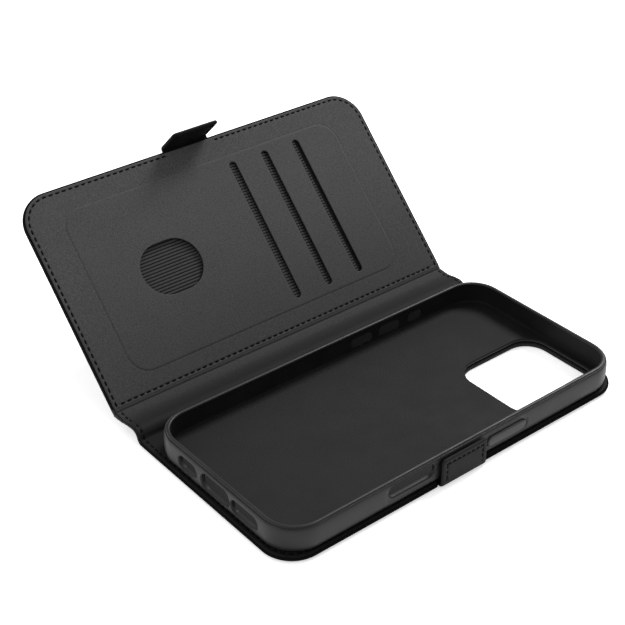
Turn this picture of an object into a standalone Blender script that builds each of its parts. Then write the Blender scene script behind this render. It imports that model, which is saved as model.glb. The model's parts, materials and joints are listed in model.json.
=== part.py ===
"""A leather wallet case for a 6.3-inch phone, standing open as it does on a table.

The case is a book: a back panel that lies on the table, a spine and a cover with three card
pockets. A soft shell for the phone is glued to the back panel, and a magnetic clasp of two short
straps keeps the book shut. X runs from the spine to the open edge, Y towards the top of the phone
and Z up. The origin lies on the underside of the back panel, below the middle of the shell.

Every leaf is modelled flat, with its outer face down, and is then turned about its fold by the
empty that it hangs on.
"""

import math

import bmesh
import bpy
from mathutils import Vector

MM = 0.001

# The phone that the case is made for.
PHONE_WIDTH = 71.5 * MM
PHONE_LENGTH = 149.6 * MM
PHONE_DEPTH = 7.95 * MM

# Sheets, from the outside in.
SKIN = 0.5 * MM
BOARD = 0.45 * MM
POCKET_CLOTH = 0.35 * MM
DIVIDER = 0.15 * MM
GLUE = 0.15 * MM
GAP = 0.2 * MM
MAGNET = 0.5 * MM
STRAP_SKIN = 0.4 * MM
STRAP_GAP = 0.15 * MM

# The book.
BOOK_LENGTH = 156.0 * MM
LEAF_THICKNESS = 2 * SKIN + BOARD + 2 * GAP
BACK_RIGHT = 38.3 * MM
BACK_FOLD_X = -43.5 * MM
SPINE_WIDTH = 16.0 * MM
COVER_WIDTH = 82.3 * MM
CORNER_RADIUS = 12.0 * MM
FOLD_CORNER_RADIUS = 0.6 * MM
BACK_FOLD_GAP = 1.4 * MM
COVER_FOLD_GAP = 1.3 * MM
SPINE_FOLD_GAP = 1.6 * MM
BOARD_INSET = 4.2 * MM

# How far the leaves stand open at rest, counted up from the table on the open side.
SPINE_ANGLE = math.radians(167.5)
COVER_ANGLE = math.radians(135.0)

# Card pockets, measured from the cover's fold and along Y.
SLOT_START = 11.5 * MM
SLOT_END = 69.8 * MM
SLOT_MOUTH = 3.0 * MM
SLOT_PLACES = [10.8 * MM, 26.2 * MM, 41.6 * MM]
POCKET_FOOT = -72.0 * MM
POCKET_SIDE_START = 8.0 * MM
POCKET_SIDE_END = 73.0 * MM
THUMB_CENTRE = (40.5 * MM, -32.3 * MM)
THUMB_SIZE = (19.8 * MM, 25.2 * MM)

# Seams.
SEAM_INSET = 2.2 * MM
FOLD_SEAM_INSET = 2.6 * MM
THREAD_WIDTH = 0.5 * MM
GROOVE_WIDTH = 0.9 * MM
GROOVE_DEPTH = 0.3 * MM
THREAD_LIFT = 0.1 * MM

# The two straps of the clasp.
CLASP_Y = -3.2 * MM
CLASP_WIDTH = 20.5 * MM
STRAP_THICKNESS = 2 * STRAP_SKIN + MAGNET + 2 * STRAP_GAP
STRAP_RADIUS = 2.6 * MM
STRAP_FOLD_GAP = 0.5 * MM
TAB_FOLD_X = 38.7 * MM
TAB_HEIGHT = 10.5 * MM
FLAP_FOLD_REACH = 84.1 * MM
FLAP_LENGTH = 13.0 * MM
MAGNET_LENGTH = 15.0 * MM
STRAP_SEAM_INSET = 1.6 * MM
NOTCH_CLEARANCE = 0.25 * MM

# The shell that holds the phone.
SHELL_BOTTOM = LEAF_THICKNESS + GLUE + 2 * GAP
SHELL_FLOOR = 1.2 * MM
SHELL_WALL = 1.75 * MM
PHONE_PLAY = 0.2 * MM
SHELL_HALF_X = PHONE_WIDTH / 2 + PHONE_PLAY + SHELL_WALL
SHELL_HALF_Y = PHONE_LENGTH / 2 + PHONE_PLAY + SHELL_WALL
SHELL_RADIUS = 12.8 * MM
SHELL_RIM = 0.85 * MM
SEAT_Z = SHELL_BOTTOM + SHELL_FLOOR
GLASS_Z = SEAT_Z + PHONE_DEPTH
MIDDLE_Z = SEAT_Z + PHONE_DEPTH / 2
GLUE_HALF_X = 28.0 * MM
GLUE_ENDS = (-66.0 * MM, 28.0 * MM)

# Holes in the shell. Each end hole is its centre in X and its width and height.
CAMERA_CENTRE = (15.2 * MM, 52.8 * MM)
CAMERA_SIZE = (37.0 * MM, 39.0 * MM)
CAMERA_RADIUS = 9.0 * MM
END_HOLES = [
    (0.0, 15.2 * MM, 7.4 * MM),
    (-15.2 * MM, 10.2 * MM, 4.6 * MM),
    (15.6 * MM, 13.8 * MM, 4.6 * MM),
]
CAPTURE_KEY_Y = -25.2 * MM
CAPTURE_KEY_SIZE = (20.0 * MM, 4.8 * MM)
CAPTURE_KEY_Z = MIDDLE_Z + 0.7 * MM

# Button pads: name, side of the shell, place along Y and length.
BUTTONS = [
    ("power_button_pad", 1, 17.9 * MM, 18.3 * MM),
    ("volume_up_pad", -1, 30.5 * MM, 10.6 * MM),
    ("volume_down_pad", -1, 16.8 * MM, 10.6 * MM),
    ("action_button_pad", -1, 43.6 * MM, 7.0 * MM),
]
BUTTON_HEIGHT = 3.8 * MM
BUTTON_Z = MIDDLE_Z - 0.4 * MM
BUTTON_PLAY = 0.3 * MM
BUTTON_PROUD = 0.4 * MM
BUTTON_DEPTH = 2.0 * MM

CORNER_STEPS = 8
SMALL_CORNER_STEPS = 4
CUT_MARGIN = 2.0 * MM

COLOURS = {
    "outer_leather": ((0.020, 0.020, 0.021), 0.55, 0.0),
    "lining_leather": ((0.055, 0.055, 0.056), 0.75, 0.0),
    "ribbed_cloth": ((0.040, 0.040, 0.041), 0.90, 0.0),
    "board": ((0.30, 0.28, 0.25), 0.90, 0.0),
    "glue_film": ((0.60, 0.60, 0.58), 0.40, 0.0),
    "soft_shell": ((0.022, 0.022, 0.023), 0.45, 0.0),
    "thread": ((0.008, 0.008, 0.008), 0.80, 0.0),
    "magnet": ((0.55, 0.55, 0.56), 0.35, 1.0),
}


def clear_scene():
    """Empties the file of what it opened with."""
    for item in list(bpy.data.objects):
        bpy.data.objects.remove(item)


def material(slot, node):
    """A material of the piece's own, in its finish."""
    colour, roughness, metallic = COLOURS[slot]
    made = bpy.data.materials.new(f"{node}_{slot}")
    made.use_nodes = True
    shader = made.node_tree.nodes["Principled BSDF"]
    shader.inputs["Base Color"].default_value = (*colour, 1.0)
    shader.inputs["Roughness"].default_value = roughness
    shader.inputs["Metallic"].default_value = metallic
    return made


def pivot(name, place, turn=0.0, parent=None):
    """An empty on a fold, turned about Y."""
    empty = bpy.data.objects.new(name, None)
    bpy.context.scene.collection.objects.link(empty)
    empty.parent = parent
    empty.location = place
    empty.rotation_euler = (0.0, turn, 0.0)
    return empty


def rounded(x_range, y_range, radii, steps=CORNER_STEPS):
    """A rectangle's outline with round corners, anticlockwise from the low corner."""
    (x0, x1), (y0, y1) = x_range, y_range
    signs = [(-1, -1), (1, -1), (1, 1), (-1, 1)]
    points = []
    for quarter, ((sx, sy), radius) in enumerate(zip(signs, radii)):
        centre_x = (x0 if sx < 0 else x1) - sx * radius
        centre_y = (y0 if sy < 0 else y1) - sy * radius
        first = math.pi + quarter * math.pi / 2
        for step in range(steps + 1):
            angle = first + step / steps * math.pi / 2
            across = centre_x + radius * math.cos(angle)
            along = centre_y + radius * math.sin(angle)
            points.append((across, along))
    return points


def even(x_range, y_range, radius, steps=CORNER_STEPS):
    """A rounded rectangle with the same radius at all its corners."""
    return rounded(x_range, y_range, (radius,) * 4, steps)


def new_object(name, mesh_builder, slot, parent=None):
    """Turns a finished bmesh into a named object in its finish."""
    bmesh.ops.recalc_face_normals(mesh_builder, faces=mesh_builder.faces)
    mesh = bpy.data.meshes.new(name)
    mesh_builder.to_mesh(mesh)
    mesh_builder.free()
    made = bpy.data.objects.new(name, mesh)
    bpy.context.scene.collection.objects.link(made)
    made.parent = parent
    if slot:
        mesh.materials.append(material(slot, name))
    return made


def skinned(loops):
    """A closed body through equal loops of points, capped at the first and the last."""
    build = bmesh.new()
    rings = [[build.verts.new(point) for point in loop] for loop in loops]
    count = len(rings[0])
    for low, high in zip(rings, rings[1:]):
        for here in range(count):
            there = (here + 1) % count
            build.faces.new((low[here], low[there], high[there], high[here]))
    build.faces.new(list(reversed(rings[0])))
    build.faces.new(rings[-1])
    return build


def slab(name, outline, heights, slot, parent=None):
    """A flat sheet of this outline."""
    loops = [[(x, y, height) for x, y in outline] for height in heights]
    return new_object(name, skinned(loops), slot, parent)


def ring(name, outer, inner, heights, slot, parent=None):
    """A flat closed band between two outlines, such as a line of thread."""
    build = bmesh.new()
    low, high = heights
    corners = [(outer, low), (outer, high), (inner, high), (inner, low)]
    loops = [[build.verts.new((x, y, z)) for x, y in line] for line, z in corners]
    count = len(outer)
    for place in range(4):
        here, there = loops[place], loops[(place + 1) % 4]
        for point in range(count):
            after = (point + 1) % count
            build.faces.new((here[point], here[after], there[after], there[point]))
    return new_object(name, build, slot, parent)


def cutter(shape):
    """Marks a shape as one that only cuts."""
    shape.hide_render = True
    shape.display_type = "WIRE"
    return shape


def cut(target, shape):
    """Takes a cutter's shape out of a piece."""
    modifier = target.modifiers.new(shape.name, "BOOLEAN")
    modifier.operation = "DIFFERENCE"
    modifier.solver = "EXACT"
    modifier.object = shape


def inset_outline(bounds, radii, inset, fold_inset, steps=CORNER_STEPS):
    """A leaf's outline drawn in from its edges, with its own inset at the fold side.

    bounds is (fold x, free x, low y, high y), and radii the fold's and the free corners'.
    """
    fold_x, free_x, low_y, high_y = bounds
    fold_radius, free_radius = (max(radius - inset, 0.1 * MM) for radius in radii)
    y_range = (low_y + inset, high_y - inset)
    if free_x > fold_x:
        x_range = (fold_x + fold_inset, free_x - inset)
        corners = (fold_radius, free_radius, free_radius, fold_radius)
    else:
        x_range = (free_x + inset, fold_x - fold_inset)
        corners = (free_radius, fold_radius, fold_radius, free_radius)
    return rounded(x_range, y_range, corners, steps)


def seam(name, target, bounds, radii, insets, top, parent=None, steps=CORNER_STEPS):
    """A line of thread round a leaf, in a groove in the leaf's inner sheet."""
    edge, fold = insets

    def band(width):
        half = width / 2
        outer = inset_outline(bounds, radii, edge - half, fold - half, steps)
        inner = inset_outline(bounds, radii, edge + half, fold + half, steps)
        return outer, inner

    floor = top - GROOVE_DEPTH
    groove_heights = (floor, top + CUT_MARGIN)
    groove = ring(name + "_groove", *band(GROOVE_WIDTH), groove_heights, None, parent)
    cut(target, cutter(groove))
    heights = (floor + THREAD_LIFT, top + THREAD_LIFT)
    ring(name, *band(THREAD_WIDTH), heights, "thread", parent)


def camera_window(name, heights):
    """The cutter for the phone's camera, through every sheet behind it."""
    (x, y), (width, length) = CAMERA_CENTRE, CAMERA_SIZE
    x_range = (x - width / 2, x + width / 2)
    y_range = (y - length / 2, y + length / 2)
    return cutter(slab(name, even(x_range, y_range, CAMERA_RADIUS), heights, None))


def build_back(window):
    """The back panel: an outer skin, a board, a lining and the seam round them."""
    fold_x = BACK_FOLD_X + BACK_FOLD_GAP
    bounds = (fold_x, BACK_RIGHT, -BOOK_LENGTH / 2, BOOK_LENGTH / 2)
    radii = (FOLD_CORNER_RADIUS, CORNER_RADIUS)
    edge = inset_outline(bounds, radii, 0.0, 0.0)
    inner_edge = inset_outline(bounds, radii, BOARD_INSET, BOARD_INSET / 2)
    board_low = SKIN + GAP
    lining_low = board_low + BOARD + GAP
    skin = slab("back_outer_skin", edge, (0.0, SKIN), "outer_leather")
    board = slab("back_board", inner_edge, (board_low, board_low + BOARD), "board")
    lining = slab("back_lining", edge, (lining_low, LEAF_THICKNESS), "lining_leather")
    for sheet in (skin, board, lining):
        cut(sheet, window)
    notch_x = TAB_FOLD_X - STRAP_THICKNESS / 2 - NOTCH_CLEARANCE
    half = CLASP_WIDTH / 2 + NOTCH_CLEARANCE * 2
    x_range = (notch_x, BACK_RIGHT + CUT_MARGIN)
    y_range = (CLASP_Y - half, CLASP_Y + half)
    outline = even(x_range, y_range, NOTCH_CLEARANCE, SMALL_CORNER_STEPS)
    notch_heights = (-CUT_MARGIN, LEAF_THICKNESS + CUT_MARGIN)
    notch = cutter(slab("tab_notch", outline, notch_heights, None))
    cut(skin, notch)
    cut(lining, notch)
    insets = (SEAM_INSET, SEAM_INSET)
    seam("back_seam_thread", lining, bounds, radii, insets, LEAF_THICKNESS)


def build_spine(parent):
    """The spine: an outer skin, a stiff strip and a lining, between the two folds."""
    near, far = -BACK_FOLD_GAP, -(SPINE_WIDTH - SPINE_FOLD_GAP)
    bounds = (near, far, -BOOK_LENGTH / 2, BOOK_LENGTH / 2)
    radii = (FOLD_CORNER_RADIUS, FOLD_CORNER_RADIUS)
    edge = inset_outline(bounds, radii, 0.0, 0.0, SMALL_CORNER_STEPS)
    strip_edge = inset_outline(bounds, radii, BOARD_INSET / 2, BOARD_INSET / 4)
    base = -LEAF_THICKNESS / 2
    strip_low = base + SKIN + GAP
    strip_heights = (strip_low, strip_low + BOARD)
    lining_heights = (base + LEAF_THICKNESS - SKIN, base + LEAF_THICKNESS)
    slab("spine_outer_skin", edge, (base, base + SKIN), "outer_leather", parent)
    slab("spine_strip", strip_edge, strip_heights, "board", parent)
    slab("spine_lining", edge, lining_heights, "lining_leather", parent)


def slot_cutter(name, place, heights, parent):
    """The mouth of one card pocket, across the cover."""
    x_range = (-SLOT_END, -SLOT_START)
    y_range = (place - SLOT_MOUTH / 2, place + SLOT_MOUTH / 2)
    outline = even(x_range, y_range, SLOT_MOUTH * 0.499, SMALL_CORNER_STEPS)
    return cutter(slab(name, outline, heights, None, parent))


def thumb_cutter(heights, parent):
    """The oval hole that a thumb pushes the cards out through."""
    (reach, place), (width, length) = THUMB_CENTRE, THUMB_SIZE
    x_range = (-reach - width / 2, -reach + width / 2)
    y_range = (place - length / 2, place + length / 2)
    outline = even(x_range, y_range, width * 0.499)
    return cutter(slab("thumb_hole", outline, heights, None, parent))


def build_cover(parent):
    """The cover: a skin and a board, and on its inside three card pockets under one panel."""
    bounds = (-COVER_FOLD_GAP, -COVER_WIDTH, -BOOK_LENGTH / 2, BOOK_LENGTH / 2)
    radii = (FOLD_CORNER_RADIUS, CORNER_RADIUS)
    edge = inset_outline(bounds, radii, 0.0, 0.0)
    inner_edge = inset_outline(bounds, radii, BOARD_INSET, BOARD_INSET)
    low = -LEAF_THICKNESS / 2
    slab("cover_outer_skin", edge, (low, low + SKIN), "outer_leather", parent)
    low += SKIN + GAP
    slab("cover_board", inner_edge, (low, low + BOARD), "board", parent)
    low += BOARD + GAP
    sides = (-POCKET_SIDE_END, -POCKET_SIDE_START)
    backing_end = SLOT_PLACES[2] + 3 * SLOT_MOUTH
    backing = even(sides, (POCKET_FOOT, backing_end), FOLD_CORNER_RADIUS, 2)
    slab("pocket_backing", backing, (low, low + POCKET_CLOTH), "ribbed_cloth", parent)
    low += POCKET_CLOTH + GAP
    thumb = thumb_cutter((low - GAP / 2, low + LEAF_THICKNESS), parent)
    for name, slot in (("inner_pocket_divider", 1), ("outer_pocket_divider", 0)):
        end = SLOT_PLACES[slot] + 1.5 * SLOT_MOUTH
        outline = even(sides, (POCKET_FOOT, end), FOLD_CORNER_RADIUS, 2)
        divider = slab(name, outline, (low, low + DIVIDER), "ribbed_cloth", parent)
        cut(divider, thumb)
        low += DIVIDER + GAP
    top = low + SKIN
    panel = slab("pocket_panel", edge, (low, top), "lining_leather", parent)
    cut(panel, thumb)
    for count, place in enumerate(SLOT_PLACES, 1):
        heights = (low - GAP / 2, top + CUT_MARGIN)
        cut(panel, slot_cutter(f"slot_{count}", place, heights, parent))
    insets = (SEAM_INSET, FOLD_SEAM_INSET - COVER_FOLD_GAP)
    seam("cover_seam_thread", panel, bounds, radii, insets, top, parent)


def build_strap(prefix, length, side, parent):
    """One strap of the clasp: two skins round a magnet, with a seam round its inside.

    side is 1 where the flat strap runs along +X from its fold, and -1 where it runs along -X.
    """
    half = CLASP_WIDTH / 2
    ends = (side * STRAP_FOLD_GAP, side * length)
    bounds = (*ends, CLASP_Y - half, CLASP_Y + half)
    radii = (FOLD_CORNER_RADIUS, STRAP_RADIUS)
    edge = inset_outline(bounds, radii, 0.0, 0.0, SMALL_CORNER_STEPS)
    low, high = -STRAP_THICKNESS / 2, STRAP_THICKNESS / 2
    skin_heights = (low, low + STRAP_SKIN)
    slab(prefix + "_outer_skin", edge, skin_heights, "outer_leather", parent)
    lining_heights = (high - STRAP_SKIN, high)
    lining = slab(prefix + "_lining", edge, lining_heights, "lining_leather", parent)
    near = side * (STRAP_SEAM_INSET * 2 + STRAP_FOLD_GAP)
    far = side * (length - STRAP_SEAM_INSET * 1.6)
    x_range = (min(near, far), max(near, far))
    y_range = (CLASP_Y - MAGNET_LENGTH / 2, CLASP_Y + MAGNET_LENGTH / 2)
    outline = even(x_range, y_range, FOLD_CORNER_RADIUS, SMALL_CORNER_STEPS)
    magnet_low = low + STRAP_SKIN + STRAP_GAP
    heights = (magnet_low, magnet_low + MAGNET)
    slab(prefix + "_magnet", outline, heights, "magnet", parent)
    insets = (STRAP_SEAM_INSET, STRAP_SEAM_INSET)
    steps = SMALL_CORNER_STEPS
    seam(prefix + "_thread", lining, bounds, radii, insets, high, parent, steps)


def shell_loop(inset, height):
    """The shell's outline at one height, drawn in from its widest."""
    x_range = (inset - SHELL_HALF_X, SHELL_HALF_X - inset)
    y_range = (inset - SHELL_HALF_Y, SHELL_HALF_Y - inset)
    outline = even(x_range, y_range, SHELL_RADIUS - inset)
    return [(x, y, height) for x, y in outline]


def shell_profile():
    """The shell's section: up its bulging side, over the rim and down inside the lip."""
    rim = GLASS_Z + SHELL_RIM
    return [
        (1.9 * MM, SHELL_BOTTOM),
        (0.7 * MM, SHELL_BOTTOM + 0.5 * MM),
        (0.1 * MM, SHELL_BOTTOM + 2.2 * MM),
        (0.0, MIDDLE_Z),
        (0.15 * MM, rim - 2.0 * MM),
        (0.6 * MM, rim - 0.5 * MM),
        (1.3 * MM, rim),
        (2.0 * MM, rim),
        (2.3 * MM, rim - 0.4 * MM),
        (2.3 * MM, GLASS_Z + 0.15 * MM),
        (SHELL_WALL, GLASS_Z - 0.05 * MM),
        (SHELL_WALL, SEAT_Z),
    ]


def side_shape(name, side, place, size, depths, slot=None):
    """A pill-shaped block through one side wall of the shell, along X.

    place is its middle in Y and Z, size its length and height, and depths its two ends in X.
    """
    (along, level), (length, height) = place, size
    y_range = (along - length / 2, along + length / 2)
    z_range = (level - height / 2, level + height / 2)
    outline = even(y_range, z_range, height * 0.499, SMALL_CORNER_STEPS)
    middle = Vector((side * sum(depths) / 2, along, level))
    loops = []
    for depth in depths:
        points = [Vector((side * depth, y, z)) - middle for y, z in outline]
        loops.append(points)
    made = new_object(name, skinned(loops), slot)
    made.location = middle
    return made


def end_cutter(name, centre, width, height):
    """A pill-shaped cutter through the shell's bottom end, along Y."""
    x_range = (centre - width / 2, centre + width / 2)
    z_range = (MIDDLE_Z - height / 2, MIDDLE_Z + height / 2)
    outline = even(x_range, z_range, height * 0.499, SMALL_CORNER_STEPS)
    outside = -SHELL_HALF_Y - CUT_MARGIN
    inside = -PHONE_LENGTH / 2 + CUT_MARGIN
    loops = [[(x, y, z) for x, z in outline] for y in (outside, inside)]
    return cutter(new_object(name, skinned(loops), None))


def build_shell(window):
    """The soft shell, the film that glues it down and the pads over the phone's buttons."""
    y_range = GLUE_ENDS
    outline = even((-GLUE_HALF_X, GLUE_HALF_X), y_range, FOLD_CORNER_RADIUS, 2)
    film_low = LEAF_THICKNESS + GAP
    slab("tray_adhesive", outline, (film_low, film_low + GLUE), "glue_film")
    loops = [shell_loop(inset, height) for inset, height in shell_profile()]
    shell = new_object("phone_tray", skinned(loops), "soft_shell")
    cut(shell, window)
    for count, (centre, width, height) in enumerate(END_HOLES, 1):
        cut(shell, end_cutter(f"end_hole_{count}", centre, width, height))
    through = (PHONE_WIDTH / 2 - CUT_MARGIN, SHELL_HALF_X + CUT_MARGIN)
    key_place = (CAPTURE_KEY_Y, CAPTURE_KEY_Z)
    key = side_shape("capture_key", 1, key_place, CAPTURE_KEY_SIZE, through)
    cut(shell, cutter(key))
    outer = SHELL_HALF_X + BUTTON_PROUD
    for name, side, along, length in BUTTONS:
        place = (along, BUTTON_Z)
        hole_size = (length + 2 * BUTTON_PLAY, BUTTON_HEIGHT + 2 * BUTTON_PLAY)
        hole = side_shape(name + "_window", side, place, hole_size, through)
        cut(shell, cutter(hole))
        size = (length, BUTTON_HEIGHT)
        depths = (outer - BUTTON_DEPTH, outer)
        side_shape(name, side, place, size, depths, "soft_shell")


def main():
    """Builds the case, leaf by leaf."""
    clear_scene()
    window = camera_window("camera_window", (-CUT_MARGIN, SEAT_Z + CUT_MARGIN))
    build_back(window)
    build_shell(window)
    fold_z = LEAF_THICKNESS / 2
    back_fold = pivot("back_fold", (BACK_FOLD_X, 0, fold_z), math.pi - SPINE_ANGLE)
    build_spine(back_fold)
    cover_turn = SPINE_ANGLE - COVER_ANGLE
    cover_fold = pivot("cover_fold", (-SPINE_WIDTH, 0, 0), cover_turn, back_fold)
    build_cover(cover_fold)
    flap_place = (-FLAP_FOLD_REACH, 0, 0)
    flap_fold = pivot("flap_fold", flap_place, math.pi / 2, cover_fold)
    build_strap("clasp_flap", FLAP_LENGTH, -1, flap_fold)
    tab_fold = pivot("tab_fold", (TAB_FOLD_X, 0, fold_z), -math.pi / 2)
    build_strap("clasp_tab", TAB_HEIGHT, 1, tab_fold)


main()
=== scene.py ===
"""Looks of a leather wallet case for a phone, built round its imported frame.

The case is a book: a back panel under a soft phone shell, a spine, a cover with card pockets, and a
clasp of two short straps. Shapes are worked out in millimetres and become metres when a piece is
made. Each leaf has a frame of its own: X towards the back panel's open edge, Y along the book and Z
towards the side that the phone lies on.
"""

from __future__ import annotations

import json
import logging
import math
from dataclasses import dataclass, field
from enum import Enum
from typing import Callable, Sequence, Union

import bmesh
import bpy
import numpy as np
from mathutils import Matrix, Vector, noise
from mathutils.geometry import delaunay_2d_cdt


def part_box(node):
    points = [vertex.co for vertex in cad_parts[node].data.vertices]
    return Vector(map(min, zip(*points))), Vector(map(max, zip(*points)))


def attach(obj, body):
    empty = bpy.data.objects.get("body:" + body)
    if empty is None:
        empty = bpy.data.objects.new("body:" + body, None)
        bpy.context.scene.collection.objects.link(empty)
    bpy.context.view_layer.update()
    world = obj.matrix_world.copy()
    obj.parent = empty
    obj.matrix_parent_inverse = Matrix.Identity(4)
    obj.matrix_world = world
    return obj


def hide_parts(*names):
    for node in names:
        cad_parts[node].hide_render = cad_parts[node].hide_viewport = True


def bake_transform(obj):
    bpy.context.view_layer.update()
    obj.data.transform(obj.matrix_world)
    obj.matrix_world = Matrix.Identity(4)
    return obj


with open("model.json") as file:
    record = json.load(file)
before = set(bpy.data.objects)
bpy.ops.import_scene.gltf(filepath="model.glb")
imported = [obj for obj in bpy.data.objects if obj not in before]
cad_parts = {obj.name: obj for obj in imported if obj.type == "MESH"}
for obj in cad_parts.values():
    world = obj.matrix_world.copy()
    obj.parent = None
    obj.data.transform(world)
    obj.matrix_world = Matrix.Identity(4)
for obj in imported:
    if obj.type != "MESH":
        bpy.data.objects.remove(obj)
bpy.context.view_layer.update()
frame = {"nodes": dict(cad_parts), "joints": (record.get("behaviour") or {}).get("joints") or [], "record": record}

MM = 0.001
RIB_START = -73.0
RIB_PITCH = 1.2
EDGE_RISE = 0.09
RIM_END = 1.16
LINING_THICKNESS = 0.55
STRAP_BEND = 0.85
LOG = logging.getLogger("wallet_case")

Flat = tuple[float, float]
Solid = tuple[float, float, float]
Relief = Callable[[float, float], float]
Material = bpy.types.Material
Object = bpy.types.Object


def smooth(value: float, low: float, high: float) -> float:
    """A soft step.

    Args:
        value: where to read the step.
        low: where it leaves 0.
        high: where it reaches 1.

    Returns:
        A share from 0 to 1.
    """
    share = min(max((value - low) / (high - low), 0.0), 1.0)
    return share * share * (3.0 - 2.0 * share)


# ---------------------------------------------------------------------------------------------
# Finishes
# ---------------------------------------------------------------------------------------------


class Wire:
    """One output of a shader node. Sums written with it add Math nodes."""

    def __init__(self, shader: Shader, socket: bpy.types.NodeSocket) -> None:
        """Keeps the output and the shader it belongs to."""
        self.shader = shader
        self.socket = socket

    def _sum(self, operation: str, first: Feed, second: Feed) -> Wire:
        """Adds one Math node."""
        return self.shader.node("ShaderNodeMath", {"operation": operation}, {0: first, 1: second})

    def __add__(self, other: Feed) -> Wire:
        """self + other."""
        return self._sum("ADD", self, other)

    def __radd__(self, other: Feed) -> Wire:
        """other + self."""
        return self._sum("ADD", other, self)

    def __sub__(self, other: Feed) -> Wire:
        """self - other."""
        return self._sum("SUBTRACT", self, other)

    def __rsub__(self, other: Feed) -> Wire:
        """other - self."""
        return self._sum("SUBTRACT", other, self)

    def __mul__(self, other: Feed) -> Wire:
        """self * other."""
        return self._sum("MULTIPLY", self, other)

    def __rmul__(self, other: Feed) -> Wire:
        """other * self."""
        return self._sum("MULTIPLY", other, self)


Feed = Union[Wire, float, tuple, str]


class Shader:
    """A material under construction, round one Principled surface."""

    def __init__(self, name: str) -> None:
        """Starts a material.

        Args:
            name: the material's name.
        """
        self.material = bpy.data.materials.new(name)
        self.material.use_nodes = True
        self.tree = self.material.node_tree
        self.surface = self.tree.nodes["Principled BSDF"]

    def feed(self, socket: bpy.types.NodeSocket, value: Feed) -> None:
        """Links a wire to a socket, or sets the socket's value."""
        if isinstance(value, Wire):
            self.tree.links.new(value.socket, socket)
        else:
            socket.default_value = value

    def node(self, kind: str, settings: dict | None = None, feeds: dict | None = None,
             output: int | str = 0) -> Wire:
        """Adds a node.

        Args:
            kind: the node's type.
            settings: its properties, which are set first.
            feeds: the values or wires of its sockets, by name or place.
            output: the output to hand back.

        Returns:
            The wire from that output.
        """
        made = self.tree.nodes.new(kind)
        for key, value in (settings or {}).items():
            setattr(made, key, value)
        for key, value in (feeds or {}).items():
            self.feed(made.inputs[key], value)
        return Wire(self, made.outputs[output])

    def place(self, stretch: Solid = (1.0, 1.0, 1.0)) -> Wire:
        """A point on the piece in millimetres, multiplied along each axis by stretch."""
        here = self.node("ShaderNodeTexCoord", output="Object")
        grow = tuple(each / MM for each in stretch)
        return self.node("ShaderNodeVectorMath", {"operation": "MULTIPLY"}, {0: here, 1: grow})

    def along(self, place: Wire, axis: str) -> Wire:
        """One coordinate of a point."""
        return self.node("ShaderNodeSeparateXYZ", feeds={0: place}, output=axis)

    def noise(self, place: Wire, size: float, detail: float = 2.0, rough: float = 0.5) -> Wire:
        """Soft noise whose blotches are about size millimetres across."""
        feeds = {"Vector": place, "Scale": 1.0 / size, "Detail": detail, "Roughness": rough}
        return self.node("ShaderNodeTexNoise", feeds=feeds)

    def cells(self, place: Wire, size: float) -> Wire:
        """The distance to the nearest point of cells about size millimetres across."""
        feeds = {"Vector": place, "Scale": 1.0 / size}
        return self.node("ShaderNodeTexVoronoi", {"feature": "F1"}, feeds, "Distance")

    def step(self, value: Wire, low: float, high: float, start: float = 0.0,
             end: float = 1.0) -> Wire:
        """A soft step from start to end, as value goes from low to high."""
        feeds = {"Value": value, "From Min": low, "From Max": high, "To Min": start, "To Max": end}
        return self.node("ShaderNodeMapRange", {"interpolation_type": "SMOOTHSTEP"}, feeds)

    def mix(self, share: Wire, first: Feed, second: Feed) -> Wire:
        """A colour between two, by share."""
        feeds = {0: share, 6: first, 7: second}
        return self.node("ShaderNodeMix", {"data_type": "RGBA"}, feeds, 2)

    def tint(self, share: Wire, tone: float, dark: float, light: float) -> Wire:
        """A grey between dark and light times a tone, by share."""
        return self.mix(share, grey(tone * dark), grey(tone * light))

    def bump(self, height: Wire, depth: float) -> Wire:
        """A normal from a height of 0 to 1 that stands for depth millimetres."""
        return self.node("ShaderNodeBump", feeds={"Height": height, "Distance": depth * MM})

    def finish(self, **feeds: Feed) -> Material:
        """Sets the surface's sockets, named with _ for a space, and returns the material."""
        for key, value in feeds.items():
            self.feed(self.surface.inputs[key.replace("_", " ")], value)
        return self.material


def grey(level: float, warmth: float = 0.0) -> tuple[float, float, float, float]:
    """A nearly neutral colour.

    Args:
        level: its linear brightness.
        warmth: how much brighter its red is than its blue, as a share.

    Returns:
        A colour with alpha 1.
    """
    return (level * (1 + warmth / 2), level, level * (1 - warmth / 2), 1.0)


@dataclass(frozen=True)
class Finish:
    """A finish of the case. Each kind says what feeds its surface."""

    name: str

    def feeds(self, shader: Shader) -> dict[str, Feed]:
        """What feeds the surface's sockets, named with _ for a space."""
        raise NotImplementedError

    def material(self) -> Material:
        """Builds the material."""
        shader = Shader(self.name)
        return shader.finish(**self.feeds(shader))


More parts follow.
